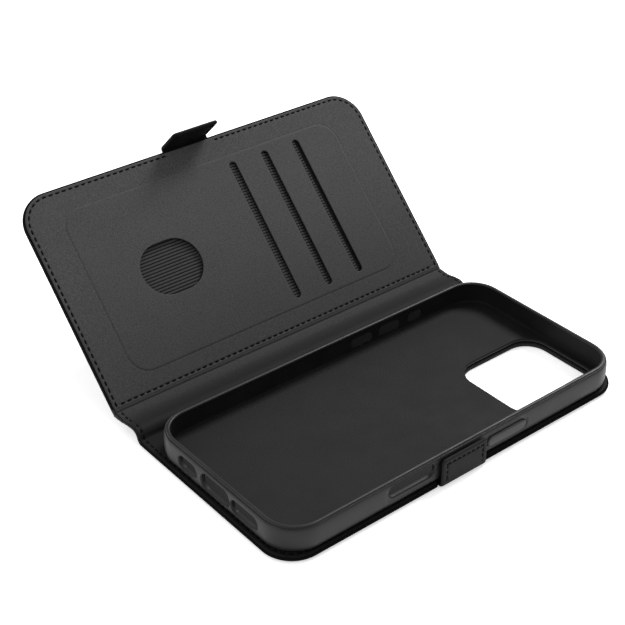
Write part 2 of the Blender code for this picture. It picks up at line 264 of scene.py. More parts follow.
@dataclass(frozen=True)
class CoatedLeather(Finish):
    """Leather with a thin coat, pressed with a fine pebbled grain."""

    tone: float
    pebble: float = 0.55
    depth: float = 0.03
    roughness: float = 0.66
    gloss: float = 0.1
    sheen: float = 0.0
    # painted shade: how far the tone darkens, by place on the piece
    shade: Callable[[Shader], Wire] | None = None

    def feeds(self, shader: Shader) -> dict[str, Feed]:
        """Its tone, roughness and relief."""
        place = shader.place()
        pores = shader.cells(place, self.pebble)
        fine = shader.noise(place, self.pebble * 0.45, 3.0, 0.6)
        blotch = shader.noise(place, 14.0, 2.0)
        speck = shader.noise(place, self.pebble * 0.95, 4.0, 0.8)
        tone = shader.tint(shader.step(speck, 0.34, 0.68), self.tone, 0.7, 1.3)
        tone = shader.mix(shader.step(blotch, 0.3, 0.7, 0.0, 0.16), tone, grey(self.tone * 1.3))
        tone = shader.mix(shader.step(pores, 0.5, 0.85, 0.0, 0.4), tone, grey(self.tone * 0.5))
        # painted shade: the tone darkens towards 12% of itself by the shade's share
        if self.shade is not None:
            tone = shader.mix(self.shade(shader), tone, grey(self.tone * 0.12))
        height = fine * 0.45 + (1.0 - pores) * 0.55
        rough = shader.step(fine, 0.3, 0.7, self.roughness - 0.05, self.roughness + 0.07)
        return dict(
            Base_Color=tone, Roughness=rough, Normal=shader.bump(height, self.depth),
            Specular_IOR_Level=self.gloss, Sheen_Weight=self.sheen, Sheen_Roughness=0.55,
        )


@dataclass(frozen=True)
class RibbedCloth(Finish):
    """The pockets' cloth: its ribs are modelled, and the threads between them are here."""

    tone: float
    first: float
    pitch: float
    thread: float = 0.22

    def feeds(self, shader: Shader) -> dict[str, Feed]:
        """Its tone, roughness and relief."""
        place = shader.place()
        threads = shader.noise(shader.place((1.0, 3.2, 1.0)), self.thread * 3.0, 2.0)
        fuzz = shader.noise(place, self.thread, 3.0, 0.65)
        tone = shader.tint(shader.step(threads, 0.3, 0.7), self.tone, 0.72, 1.2)
        # painted shade: the tone falls to 12% of itself in the grooves between the ribs
        turn = (shader.along(place, "X") - self.first) * (math.pi / self.pitch)
        wave = shader.node("ShaderNodeMath", {"operation": "SINE"}, {0: turn})
        crest = shader.node("ShaderNodeMath", {"operation": "ABSOLUTE"}, {0: wave})
        tone = shader.mix(shader.step(crest, 0.15, 0.8), grey(self.tone * 0.12), tone)
        height = threads * 0.6 + fuzz * 0.4
        return dict(
            Base_Color=tone, Roughness=shader.step(fuzz, 0.2, 0.8, 0.82, 0.95),
            Normal=shader.bump(height, 0.05), Specular_IOR_Level=0.06,
        )


@dataclass(frozen=True)
class TwistedThread(Finish):
    """Waxed black sewing thread."""

    tone: float

    def feeds(self, shader: Shader) -> dict[str, Feed]:
        """Its tone, roughness and relief."""
        place = shader.place()
        slant = shader.along(place, "X") + shader.along(place, "Y") + shader.along(place, "Z")
        twist = shader.node("ShaderNodeMath", {"operation": "SINE"}, {0: slant * 22.0})
        fuzz = shader.noise(place, 0.12, 2.0)
        tone = shader.tint(shader.step(fuzz, 0.3, 0.7), self.tone, 0.6, 1.7)
        height = twist * 0.4 + fuzz * 0.5
        return dict(
            Base_Color=tone, Roughness=shader.step(fuzz, 0.2, 0.8, 0.65, 0.8),
            Normal=shader.bump(height, 0.05), Specular_IOR_Level=0.04,
        )


class Touch(Enum):
    """How a moulded surface is textured."""

    SATIN = "satin"
    DOTTED = "dotted"


@dataclass(frozen=True)
class SoftMoulding(Finish):
    """Flexible moulded plastic with a satin skin, dotted on the shell's floor."""

    tone: float
    roughness: float = 0.42
    gloss: float = 0.3
    touch: Touch = Touch.SATIN

    def feeds(self, shader: Shader) -> dict[str, Feed]:
        """Its tone, roughness and relief."""
        place = shader.place()
        grain = shader.noise(place, 0.16, 3.0, 0.6)
        cloud = shader.noise(place, 9.0, 3.0)
        tone = shader.tint(shader.step(cloud, 0.3, 0.7), self.tone, 0.9, 1.12)
        height = grain
        depth = 0.012
        if self.touch is Touch.DOTTED:
            dots = self._dots(shader, place)
            height = dots * 0.9 + grain * 0.1
            depth = 0.06
            tone = shader.mix(dots, tone, grey(self.tone * 1.35))
        rough = shader.step(cloud, 0.25, 0.75, self.roughness - 0.04, self.roughness + 0.06)
        return dict(
            Base_Color=tone, Roughness=rough, Normal=shader.bump(height, depth),
            Specular_IOR_Level=self.gloss,
        )

    def _dots(self, shader: Shader, place: Wire) -> Wire:
        """Small raised dots in square rows, 1.2 mm apart."""
        waves = []
        for axis in ("X", "Y"):
            turn = shader.along(place, axis) * (math.tau / 1.2)
            waves.append(shader.node("ShaderNodeMath", {"operation": "COSINE"}, {0: turn}))
        return shader.step(waves[0] + waves[1], 0.75, 1.5)


@dataclass(frozen=True)
class FibreBoard(Finish):
    """Pressed black board, with fibres and paler flecks."""

    def feeds(self, shader: Shader) -> dict[str, Feed]:
        """Its tone, roughness and relief."""
        fibres = shader.noise(shader.place((1.0, 0.18, 1.0)), 0.5, 4.0, 0.7)
        flecks = shader.cells(shader.place(), 1.6)
        tone = shader.mix(shader.step(fibres, 0.3, 0.7), grey(0.014, 0.1), grey(0.026, 0.1))
        tone = shader.mix(shader.step(flecks, 0.12, 0.05), tone, grey(0.05, 0.2))
        return dict(
            Base_Color=tone, Roughness=shader.step(fibres, 0.2, 0.8, 0.82, 0.95),
            Normal=shader.bump(fibres, 0.05), Specular_IOR_Level=0.15,
        )


@dataclass(frozen=True)
class GlueFilm(Finish):
    """A pale double-sided film, slightly milky."""

    def feeds(self, shader: Shader) -> dict[str, Feed]:
        """Its tone, roughness and relief."""
        bubbles = shader.cells(shader.place(), 0.9)
        haze = shader.noise(shader.place(), 6.0, 3.0)
        tone = shader.mix(shader.step(haze, 0.3, 0.7), grey(0.52, 0.05), grey(0.64, 0.03))
        return dict(
            Base_Color=tone, Roughness=shader.step(haze, 0.2, 0.8, 0.3, 0.45),
            Normal=shader.bump(bubbles, 0.02),
        )


@dataclass(frozen=True)
class NickelPlate(Finish):
    """The magnets' plating, with faint rolling marks."""

    def feeds(self, shader: Shader) -> dict[str, Feed]:
        """Its tone, roughness and relief."""
        marks = shader.noise(shader.place((1.0, 0.06, 1.0)), 0.3, 3.0, 0.7)
        tone = shader.mix(shader.step(marks, 0.3, 0.7), grey(0.5, 0.06), grey(0.62, 0.04))
        return dict(
            Base_Color=tone, Metallic=1.0, Roughness=shader.step(marks, 0.2, 0.8, 0.26, 0.42),
            Normal=shader.bump(marks, 0.006),
        )


def spine_painted_shade(shader: Shader) -> Wire:
    """Painted shade: how far the spine's lining darkens, from the cover's crease down to the shell."""
    across = shader.along(shader.place(), "X")
    return shader.step(across, -58.5, -46.0, 0.34, 0.9)


def cover_fold_painted_shade(shader: Shader) -> Wire:
    """Painted shade: how far the cover's lining darkens towards its fold."""
    across = shader.along(shader.place(), "X")
    return shader.step(across, -60.0, 2.0, 0.0, 0.3)


def made(finish: Finish) -> Material:
    """A field of the palette that holds a finish's material."""
    return field(default_factory=finish.material)


@dataclass
class Palette:
    """Every finish of the case, made once."""

    # painted shade: the cover's lining darkens towards its fold
    cover_lining: Material = made(
        CoatedLeather("cover_lining_leather", 0.044, sheen=0.02, shade=cover_fold_painted_shade)
    )
    # painted shade: the spine's lining is set darker than the cover's and darkens further towards the shell
    spine_lining: Material = made(CoatedLeather("spine_lining_leather", 0.037, shade=spine_painted_shade))
    # painted shade: the back panel's lining is a near-black copy of the lining leather, for the shade round the
    # shell
    back_lining: Material = made(CoatedLeather("back_lining_leather", 0.009, gloss=0.06))
    # edge paint, made near-black as painted shade in the holes' walls and along the skins' turned edges
    edge_paint_and_shade: Material = made(CoatedLeather("painted_cut_edge", 0.003, roughness=0.8, gloss=0.03))
    strap_lining: Material = made(CoatedLeather("strap_lining_leather", 0.004, gloss=0.06))
    strap_skin: Material = made(
        CoatedLeather("strap_outer_leather", 0.009, 0.7, depth=0.05, roughness=0.6, gloss=0.1)
    )
    outer_skin: Material = made(
        CoatedLeather("outer_leather", 0.010, 0.9, depth=0.1, roughness=0.55, gloss=0.16)
    )
    cloth: Material = made(RibbedCloth("ribbed_pocket_cloth", 0.042, RIB_START, RIB_PITCH))
    thread: Material = made(TwistedThread("black_thread", 0.002))
    shell: Material = made(SoftMoulding("satin_shell", 0.013, gloss=0.18))
    shell_floor: Material = made(
        SoftMoulding("dotted_shell_floor", 0.006, roughness=0.6, gloss=0.12, touch=Touch.DOTTED)
    )
    shell_wall: Material = made(SoftMoulding("plain_shell_wall", 0.006, roughness=0.6, gloss=0.1))
    pad: Material = made(SoftMoulding("button_pad", 0.014, roughness=0.46))
    board: Material = made(FibreBoard("fibre_board"))
    glue: Material = made(GlueFilm("glue_film"))
    nickel: Material = made(NickelPlate("nickel_plate"))


# ---------------------------------------------------------------------------------------------
# Mesh work
# ---------------------------------------------------------------------------------------------


@dataclass(frozen=True)
class RoundBox:
    """A flat rectangle with round corners: its middle, its size and its corners' radius."""

    x: float
    y: float
    width: float
    height: float
    radius: float

    def distance(self, x: float, y: float) -> float:
        """How far outside the outline a point lies; inside it is negative."""
        past_x = abs(x - self.x) - self.width / 2 + self.radius
        past_y = abs(y - self.y) - self.height / 2 + self.radius
        outside = math.hypot(max(past_x, 0.0), max(past_y, 0.0))
        return outside + min(max(past_x, past_y), 0.0) - self.radius

    def outline(self, grow: float = 0.0, step: float = 0.8, arc: int = 10) -> list[Flat]:
        """The outline, anticlockwise, with the same number of points for every grow.

        Args:
            grow: how far it is drawn outwards.
            step: the distance between points on its straight runs.
            arc: the number of points on each corner.

        Returns:
            The points.
        """
        half_x, half_y = self.width / 2 - self.radius, self.height / 2 - self.radius
        radius = self.radius + grow
        corners = [(-1, -1), (1, -1), (1, 1), (-1, 1)]
        points: list[Flat] = []
        for quarter, (side_x, side_y) in enumerate(corners):
            centre = (self.x + side_x * half_x, self.y + side_y * half_y)
            first = math.pi + quarter * math.pi / 2
            for place in range(arc + 1):
                angle = first + place / arc * math.pi / 2
                points.append((
                    centre[0] + radius * math.cos(angle),
                    centre[1] + radius * math.sin(angle),
                ))
            run = 2 * (half_x if quarter % 2 == 0 else half_y)
            count = int(run // step)
            end_angle = first + math.pi / 2
            off = (radius * math.cos(end_angle), radius * math.sin(end_angle))
            after = corners[(quarter + 1) % 4]
            there = (self.x + after[0] * half_x, self.y + after[1] * half_y)
            for place in range(1, count):
                share = place / count
                points.append((
                    centre[0] + (there[0] - centre[0]) * share + off[0],
                    centre[1] + (there[1] - centre[1]) * share + off[1],
                ))
        return points


@dataclass(frozen=True)
class LeafShape:
    """A leaf's outline: cut straight along its fold, with two round corners at its free edge."""

    fold: float
    free: float
    low: float
    high: float
    radius: float
    step: float = 0.9
    arc: int = 20

    @property
    def side(self) -> float:
        """1 where the leaf runs along +X from its fold, and -1 where it runs along -X."""
        return 1.0 if self.free > self.fold else -1.0

    @property
    def run(self) -> float:
        """The straight length from the fold to a corner."""
        return abs(self.free - self.fold) - self.radius

    def rail(self, inset: float) -> list[Flat]:
        """A line parallel to the edge, from the fold's low end round to its high end.

        Args:
            inset: how far in from the edge it lies.

        Returns:
            Its points; every inset gives the same number of them.
        """
        turn = self.radius - inset
        centre_x = self.fold + self.side * self.run
        lows, highs = self.low + self.radius, self.high - self.radius
        points: list[Flat] = []
        count = max(int(self.run / self.step), 1)
        for place in range(count):
            points.append((self.fold + self.side * self.run * place / count, self.low + inset))
        for place in range(self.arc):
            angle = place / self.arc * math.pi / 2
            across = centre_x + self.side * turn * math.sin(angle)
            points.append((across, lows - turn * math.cos(angle)))
        sides = max(int((highs - lows) / self.step), 1)
        for place in range(sides):
            points.append((centre_x + self.side * turn, lows + (highs - lows) * place / sides))
        for place in range(self.arc):
            angle = place / self.arc * math.pi / 2
            across = centre_x + self.side * turn * math.cos(angle)
            points.append((across, highs + turn * math.sin(angle)))
        for place in range(count + 1):
            share = 1.0 - place / count
            points.append((self.fold + self.side * self.run * share, self.high - inset))
        return points

    def inset(self, x: float, y: float) -> float:
        """How far a point lies in from the edge, not counting the fold."""
        from_free = (self.free - x) * self.side
        from_end = min(y - self.low, self.high - y)
        if from_free < self.radius and from_end < self.radius:
            return self.radius - math.hypot(self.radius - from_free, self.radius - from_end)
        return min(from_free, from_end)

    def along(self, x: float, y: float, inset: float) -> float:
        """How far along the rail at this inset the nearest point to (x, y) lies."""
        turn = self.radius - inset
        out = (x - self.fold) * self.side - self.run
        quarter = turn * math.pi / 2
        lows, highs = self.low + self.radius, self.high - self.radius
        if y < lows:
            if out <= 0:
                return self.run + out
            return self.run + turn * math.atan2(out, lows - y)
        if y <= highs:
            return self.run + quarter + y - lows
        side_end = self.run + quarter + highs - lows
        if out <= 0:
            return side_end + quarter - out
        return side_end + turn * math.atan2(y - highs, out)


class Skinner:
    """Gathers faces as corner points in millimetres, and welds them into one piece."""

    def __init__(self) -> None:
        """Starts with nothing."""
        self.points: list[Solid] = []
        self.faces: list[list[int]] = []

    def face(self, corners: Sequence[Solid]) -> None:
        """Adds one face."""
        first = len(self.points)
        self.points.extend(corners)
        self.faces.append(list(range(first, first + len(corners))))

    def strip(self, one: Sequence[Solid], other: Sequence[Solid], closed: bool = False) -> None:
        """Adds a row of quads between two equal lines of points."""
        first, count = len(self.points), len(one)
        self.points.extend(one)
        self.points.extend(other)
        for here in range(count if closed else count - 1):
            there = (here + 1) % count
            quad = (here, there, count + there, count + here)
            self.faces.append([first + each for each in quad])

    def loft(self, loops: Sequence[Sequence[Solid]]) -> None:
        """Adds a closed body through equal closed loops of points."""
        for one, other in zip(loops, loops[1:]):
            self.strip(one, other, closed=True)
        self.face(loops[0])
        self.face(loops[-1])

    def sheet(self, outline: Sequence[Flat], height: Relief, edge: float,
              lines: Sequence[Sequence[Flat]] = (), loops: Sequence[Sequence[Flat]] = (),
              holes: Sequence[RoundBox] = (), spread: float = 5.0) -> None:
        """Adds a surface over an outline, with a vertex on every line that shapes it.

        Args:
            outline: the outline's points, in order.
            height: the surface's height over a point.
            edge: the height along the outline itself.
            lines: open lines that the surface bends along.
            loops: closed lines that the surface bends along.
            holes: holes through it; their outlines are among its lines.
            spread: the distance between the points over its plain field.
        """
        points: list[Flat] = []
        edges: list[tuple[int, int]] = []

        def trace(line: Sequence[Flat], closed: bool) -> None:
            """Adds a line that the surface keeps."""
            first, count = len(points), len(line)
            points.extend(line)
            for here in range(count if closed else count - 1):
                edges.append((first + here, first + (here + 1) % count))

        trace(outline, True)
        for line in lines:
            trace(line, False)
        for loop in list(loops) + [hole.outline() for hole in holes]:
            trace(loop, True)
        corners = np.array(outline)
        (x0, y0), (x1, y1) = corners.min(0) + spread, corners.max(0) - spread
        for x in np.arange(x0, x1, spread):
            for y in np.arange(y0, y1, spread):
                points.append((float(x), float(y)))
        found = delaunay_2d_cdt([Vector(point) for point in points], edges, [], 1, 1e-5)
        rim = {(round(x, 3), round(y, 3)) for x, y in outline}
        first = len(self.points)
        for x, y in found[0]:
            on_rim = (round(x, 3), round(y, 3)) in rim
            self.points.append((x, y, edge if on_rim else height(x, y)))
        for triangle in found[2]:
            x = sum(found[0][each][0] for each in triangle) / 3
            y = sum(found[0][each][1] for each in triangle) / 3
            if all(hole.distance(x, y) > 0 for hole in holes):
                self.faces.append([first + each for each in triangle])

    def make(self, name: str, matrix: Matrix | None = None, sharp: float = 38.0,
             bend: Callable[[Solid], Solid] | None = None) -> Object:
        """Welds the faces into a closed piece.

        Args:
            name: the piece's name.
            matrix: the frame that its points are in, in metres.
            sharp: edges that turn by more than this many degrees stay crisp.
            bend: moves every point, in millimetres, before the piece is made.

        Returns:
            The new object.
        """
        points = [bend(point) for point in self.points] if bend else self.points
        mesh = bpy.data.meshes.new(name)
        mesh.from_pydata([tuple(each * MM for each in point) for point in points], [], self.faces)
        build = bmesh.new()
        build.from_mesh(mesh)
        bmesh.ops.remove_doubles(build, verts=build.verts, dist=2e-6)
        bmesh.ops.dissolve_degenerate(build, edges=build.edges, dist=1e-7)
        rims = [edge for edge in build.edges if edge.is_boundary]
        if rims:
            bmesh.ops.holes_fill(build, edges=rims, sides=0)
        bmesh.ops.recalc_face_normals(build, faces=build.faces)
        build.to_mesh(mesh)
        build.free()
        mesh.shade_smooth()
        mesh.set_sharp_from_angle(angle=math.radians(sharp))
        made = bpy.data.objects.new(name, mesh)
        bpy.context.scene.collection.objects.link(made)
        if matrix is not None:
            made.matrix_world = matrix
        return made


def dress(piece: Object, finish: Material, slot: str) -> Object:
    """Gives a piece its finish."""
    piece.data.materials.clear()
    piece.data.materials.append(finish)
    return piece


def fit(piece: Object, finish: Material, slot: str, body: str, node: str) -> None:
    """Gives a piece its finish and its body, and hides the CAD node that it stands for."""
    dress(piece, finish, slot)
    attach(piece, body)
    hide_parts(node)


def paint(piece: Object, finish: Material, chosen: Callable[[Vector, Vector], bool]) -> None:
    """Gives some of a piece's faces a second finish.

    Args:
        piece: the piece, already dressed.
        finish: the second finish.
        chosen: says, from a face's centre in millimetres and its normal, whether it takes it.
    """
    piece.data.materials.append(finish)
    for face in piece.data.polygons:
        face.material_index = int(chosen(face.center / MM, face.normal))


def rolled_leaf(skinner: Skinner, shape: LeafShape, rim: Sequence[Flat], low: Relief,
                high: Relief, low_lines: Sequence = (), high_lines: Sequence = (),
                loops: Sequence = (), holes: Sequence[RoundBox] = ()) -> None:
    """Adds a leaf whose edge is rolled.

    Args:
        skinner: what gathers its faces.
        shape: the leaf's outline.
        rim: the edge's section, as (inset, height) from the lower face round to the upper one.
        low: the lower face's height.
        high: the upper face's height.
        low_lines: lines that the lower face bends along.
        high_lines: lines that the upper face bends along.
        loops: closed lines that the upper face bends along.
        holes: holes through both faces.
    """
    rails = [[(x, y, height) for x, y in shape.rail(inset)] for inset, height in rim]
    for one, other in zip(rails, rails[1:]):
        skinner.strip(one, other)
    skinner.sheet(shape.rail(rim[0][0]), low, rim[0][1], low_lines, (), holes)
    skinner.sheet(shape.rail(rim[-1][0]), high, rim[-1][1], high_lines, loops, holes)
    for hole in holes:
        top = [(x, y, high(x, y)) for x, y in hole.outline()]
        foot = [(x, y, low(x, y)) for x, y in hole.outline()]
        skinner.strip(top, foot, closed=True)


def skin_rim(bottom: float, top: float, face: float) -> list[Flat]:
    """The turned edge of an outer skin, as (inset, height) from its lower to its upper face.

    Args:
        bottom: the lower face's height.
        top: the height of the bead at the edge.
        face: the upper face's height at the edge.
    """
    low = [(1.15, EDGE_RISE), (0.75, 0.19), (0.38, 0.4), (0.12, 0.68), (0.0, 1.0)]
    high = [(0.0, 0.45), (0.05, 0.22), (0.16, 0.06), (0.29, 0.0), (0.41, 0.06), (0.48, 0.22),
            (0.5, 0.45)]
    return (
        [(inset, bottom + lift) for inset, lift in low]
        + [(inset, top - drop) for inset, drop in high] + [(0.9, face)]
    )


def skin_under(shape: LeafShape, seam: Seam, bottom: float) -> Relief:
    """The outside of an outer skin, with the valley of its seam.

    Args:
        shape: the leaf's outline.
        seam: its seam.
        bottom: the outside's height.

    Returns:
        The outside's relief.
    """

    def under(x: float, y: float) -> float:
        """The height of the outside."""
        edge = 1.0 - smooth(shape.inset(x, y), 1.15, 2.6)
        return bottom + EDGE_RISE * edge + seam.press(shape, x, y)

    return under


def lining_rim(top: float, thickness: float) -> list[Flat]:
    """The cut edge of a lining, as (inset, height) from its lower to its upper face."""
    foot = top - thickness
    return [
        (1.0, foot), (0.68, foot + 0.03), (0.57, foot + 0.14), (0.56, top - 0.3),
        (0.64, top - 0.14), (0.84, top - 0.04), (1.15, top),
    ]


class Track:
    """A line of points that can be read by the distance along it."""

    def __init__(self, points: Sequence[Vector]) -> None:
        """Measures the line."""
        self.far = [0.0]
        for one, other in zip(points, points[1:]):
            self.far.append(self.far[-1] + (other - one).length)

    def find(self, place: float) -> tuple[int, float]:
        """The point after a place, and the share of the way to it from the one before."""
        far = self.far
        after = min(max(int(np.searchsorted(far, place)), 1), len(far) - 1)
        share = (place - far[after - 1]) / max(far[after] - far[after - 1], 1e-9)
        return after, min(max(share, 0.0), 1.0)


@dataclass(frozen=True)
class Seam:
    """A row of stitches: how they are spaced, and the valley that they pull in the leather."""

    inset: float = 2.2
    pitch: float = 2.7
    length: float = 1.95
    width: float = 0.6
    valley: float = 0.16
    reach: float = 0.6

    @property
    def insets(self) -> list[float]:
        """Where the valley's section bends."""
        offsets = (-0.75, -self.reach, -0.34, -0.16, 0.0, 0.16, 0.34, self.reach, 0.75)
        return [self.inset + offset for offset in offsets]

    def lines(self, shape: LeafShape) -> list[list[Flat]]:
        """The lines that a leaf bends along at the valley, clear of its rim."""
        return [shape.rail(inset) for inset in self.insets if inset > RIM_END]

    def press(self, shape: LeafShape, x: float, y: float) -> float:
        """How deep the valley is at a point of a leaf."""
        return self.dip(shape.inset(x, y) - self.inset, shape.along(x, y, self.inset))

    def dip(self, off: float, along: float) -> float:
        """How deep the valley is.

        Args:
            off: the distance from the row.
            along: the place along the row.
        """
        if abs(off) >= self.reach:
            return 0.0
        share = 0.5 + 0.5 * math.cos(math.pi * off / self.reach)
        needle = 0.5 - 0.5 * math.cos(math.tau * along / self.pitch + math.pi)
        return self.valley * share * (0.65 + 0.7 * (1.0 - needle))

    def sew(self, skinner: Skinner, path: Sequence[tuple[Solid, Solid]],
            skip: Callable[[Solid], bool] | None = None) -> None:
        """Adds the row's stitches along a path.

        Args:
            skinner: what gathers their faces.
            path: the row's points, each with the way out of the leather.
            skip: says where no stitch is.
        """
        points = [Vector(point) for point, _ in path]
        ups = [Vector(up) for _, up in path]
        track = Track(points)

        def read(place: float) -> tuple[Vector, Vector]:
            """The point and the way out, at a distance along the path."""
            last, share = track.find(place)
            return points[last - 1].lerp(points[last], share), ups[last - 1].lerp(ups[last], share)

        shares = [(0.0, 0.35, -0.24), (0.07, 0.75, -0.1), (0.22, 1.0, 0.02), (0.5, 1.0, 0.07),
                  (0.78, 1.0, 0.02), (0.93, 0.75, -0.1), (1.0, 0.35, -0.24)]
        for count in range(int(track.far[-1] / self.pitch)):
            middle = (count + 0.5) * self.pitch
            spot, _ = read(middle)
            if skip is not None and skip(tuple(spot)):
                continue
            loops = []
            for share, girth, lift in shares:
                centre, up = read(middle + (share - 0.5) * self.length)
                ahead = read(middle + (share - 0.5) * self.length + 0.05)[0]
                behind = read(middle + (share - 0.5) * self.length - 0.05)[0]
                way = (ahead - behind).normalized()
                across = way.cross(up).normalized()
                loop = []
                for turn in range(8):
                    angle = math.tau * turn / 8
                    out = centre + across * (math.cos(angle) * girth * self.width / 2)
                    out = out + up * (math.sin(angle) * girth * self.width / 2 * 0.8 + lift)
                    loop.append(tuple(out))
                loops.append(loop)
            skinner.loft(loops)


# ---------------------------------------------------------------------------------------------
# The case
# ---------------------------------------------------------------------------------------------


def joint_place(name: str) -> Vector:
    """Where a hinge of the frame is, in millimetres."""
    for joint in frame["joints"]:
        if joint["name"] == name:
            return Vector(joint["pos_m"]) / MM
    raise KeyError(name)


COVER_FOLD = joint_place("cover_fold")
FLAP_FOLD = joint_place("flap_fold")
TAB_FOLD = joint_place("tab_fold")
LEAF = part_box("back_lining")[1].z / MM
HALF_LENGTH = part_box("back_lining")[1].y / MM
CLASP_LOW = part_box("clasp_tab_outer_skin")[0].y / MM
CLASP_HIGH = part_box("clasp_tab_outer_skin")[1].y / MM


def leaf_frame(place: Vector, turn: float) -> Matrix:
    """The frame of a leaf that lies turned about Y.

    Args:
        place: its fold, in millimetres.
        turn: the angle in radians.
    """
    return Matrix.Translation(place * MM) @ Matrix.Rotation(turn, 4, "Y")


def rise(start: Vector, end: Vector) -> float:
    """The angle by which the line from start to end climbs towards -X."""
    return math.atan2(end.z - start.z, start.x - end.x)


COVER_TURN = rise(COVER_FOLD, FLAP_FOLD)


def cover_point(reach: float, height: float) -> Flat:
    """A point of the cover's section in the row frame, from its reach past the fold and height."""
    away = (-math.cos(COVER_TURN), math.sin(COVER_TURN))
    up = (math.sin(COVER_TURN), math.cos(COVER_TURN))
    return (
        COVER_FOLD.x + away[0] * reach + up[0] * height,
        COVER_FOLD.z + away[1] * reach + up[1] * height,
    )


@dataclass
class Studio:
    """The camera, a pale floor and soft light. Its lengths are in metres, except the lens."""

    azimuth: float = 50.8
    elevation: float = 32.75
    lens: float = 80.49
    place: Solid = (0.28766, -0.27087, 0.2976)
    floor_size: float = 14.0
    glow: float = 0.45
    room_light: float = 0.6
    drop: float = 0.0002

    def build(self) -> None:
        """Makes the studio."""
        self._camera()
        self._floor()
        self._lights()

    def _camera(self) -> None:
        """A long lens, three quarters from the open corner."""
        data = bpy.data.cameras.new("camera")
        data.lens = self.lens
        data.sensor_width = 36.0
        data.clip_start = 0.01
        data.clip_end = 50.0
        camera = bpy.data.objects.new("camera", data)
        camera.location = self.place
        camera.rotation_euler = (math.radians(90 - self.elevation), 0.0, math.radians(self.azimuth))
        bpy.context.scene.collection.objects.link(camera)
        bpy.context.scene.camera = camera

    def _floor(self) -> None:
        """A pale matt floor with a trace of texture."""
        half = self.floor_size / 2
        corners = [(-half, -half), (half, -half), (half, half), (-half, half)]
        mesh = bpy.data.meshes.new("studio_floor")
        mesh.from_pydata([(x, y, -self.drop) for x, y in corners], [], [(0, 1, 2, 3)])
        floor = bpy.data.objects.new("studio_floor", mesh)
        bpy.context.scene.collection.objects.link(floor)
        shader = Shader("pale_floor")
        haze = shader.noise(shader.place(), 400.0, 2.0)
        tone = shader.mix(shader.step(haze, 0.3, 0.7), grey(0.90), grey(0.93))
        mesh.materials.append(shader.finish(
            Base_Color=tone, Roughness=0.9, Specular_IOR_Level=0.1,
            Emission_Color=(1.0, 1.0, 1.0, 1.0), Emission_Strength=self.glow,
        ))

    def _lights(self) -> None:
        """A bright even room, with broad lamps over the open side and behind."""
        world = bpy.data.worlds.new("studio_world")
        world.use_nodes = True
        back = world.node_tree.nodes["Background"]
        back.inputs["Color"].default_value = (1.0, 1.0, 1.0, 1.0)
        tree = world.node_tree
        path = tree.nodes.new("ShaderNodeLightPath")
        level = tree.nodes.new("ShaderNodeMapRange")
        level.inputs["To Min"].default_value = self.room_light
        tree.links.new(path.outputs["Is Camera Ray"], level.inputs["Value"])
        tree.links.new(level.outputs["Result"], back.inputs["Strength"])
        bpy.context.scene.world = world
        bpy.context.scene.view_settings.view_transform = "Standard"
        lamps = [
            ("key_lamp", (-0.25, 1.05, 1.2), 0.6, 27.0),
            ("left_lamp", (-1.4, -0.5, 0.6), 0.9, 6.0),
            ("end_lamp", (-0.2, -1.3, 0.7), 0.8, 5.0),
            ("side_lamp", (1.2, 0.1, 1.2), 0.9, 3.0),
        ]
        for name, spot, size, power in lamps:
            data = bpy.data.lights.new(name, "AREA")
            data.shape = "DISK"
            data.size = size
            data.energy = power
            lamp = bpy.data.objects.new(name, data)
            lamp.location = spot
            lamp.rotation_euler = (-Vector(spot)).to_track_quat("-Z", "Y").to_euler()
            bpy.context.scene.collection.objects.link(lamp)


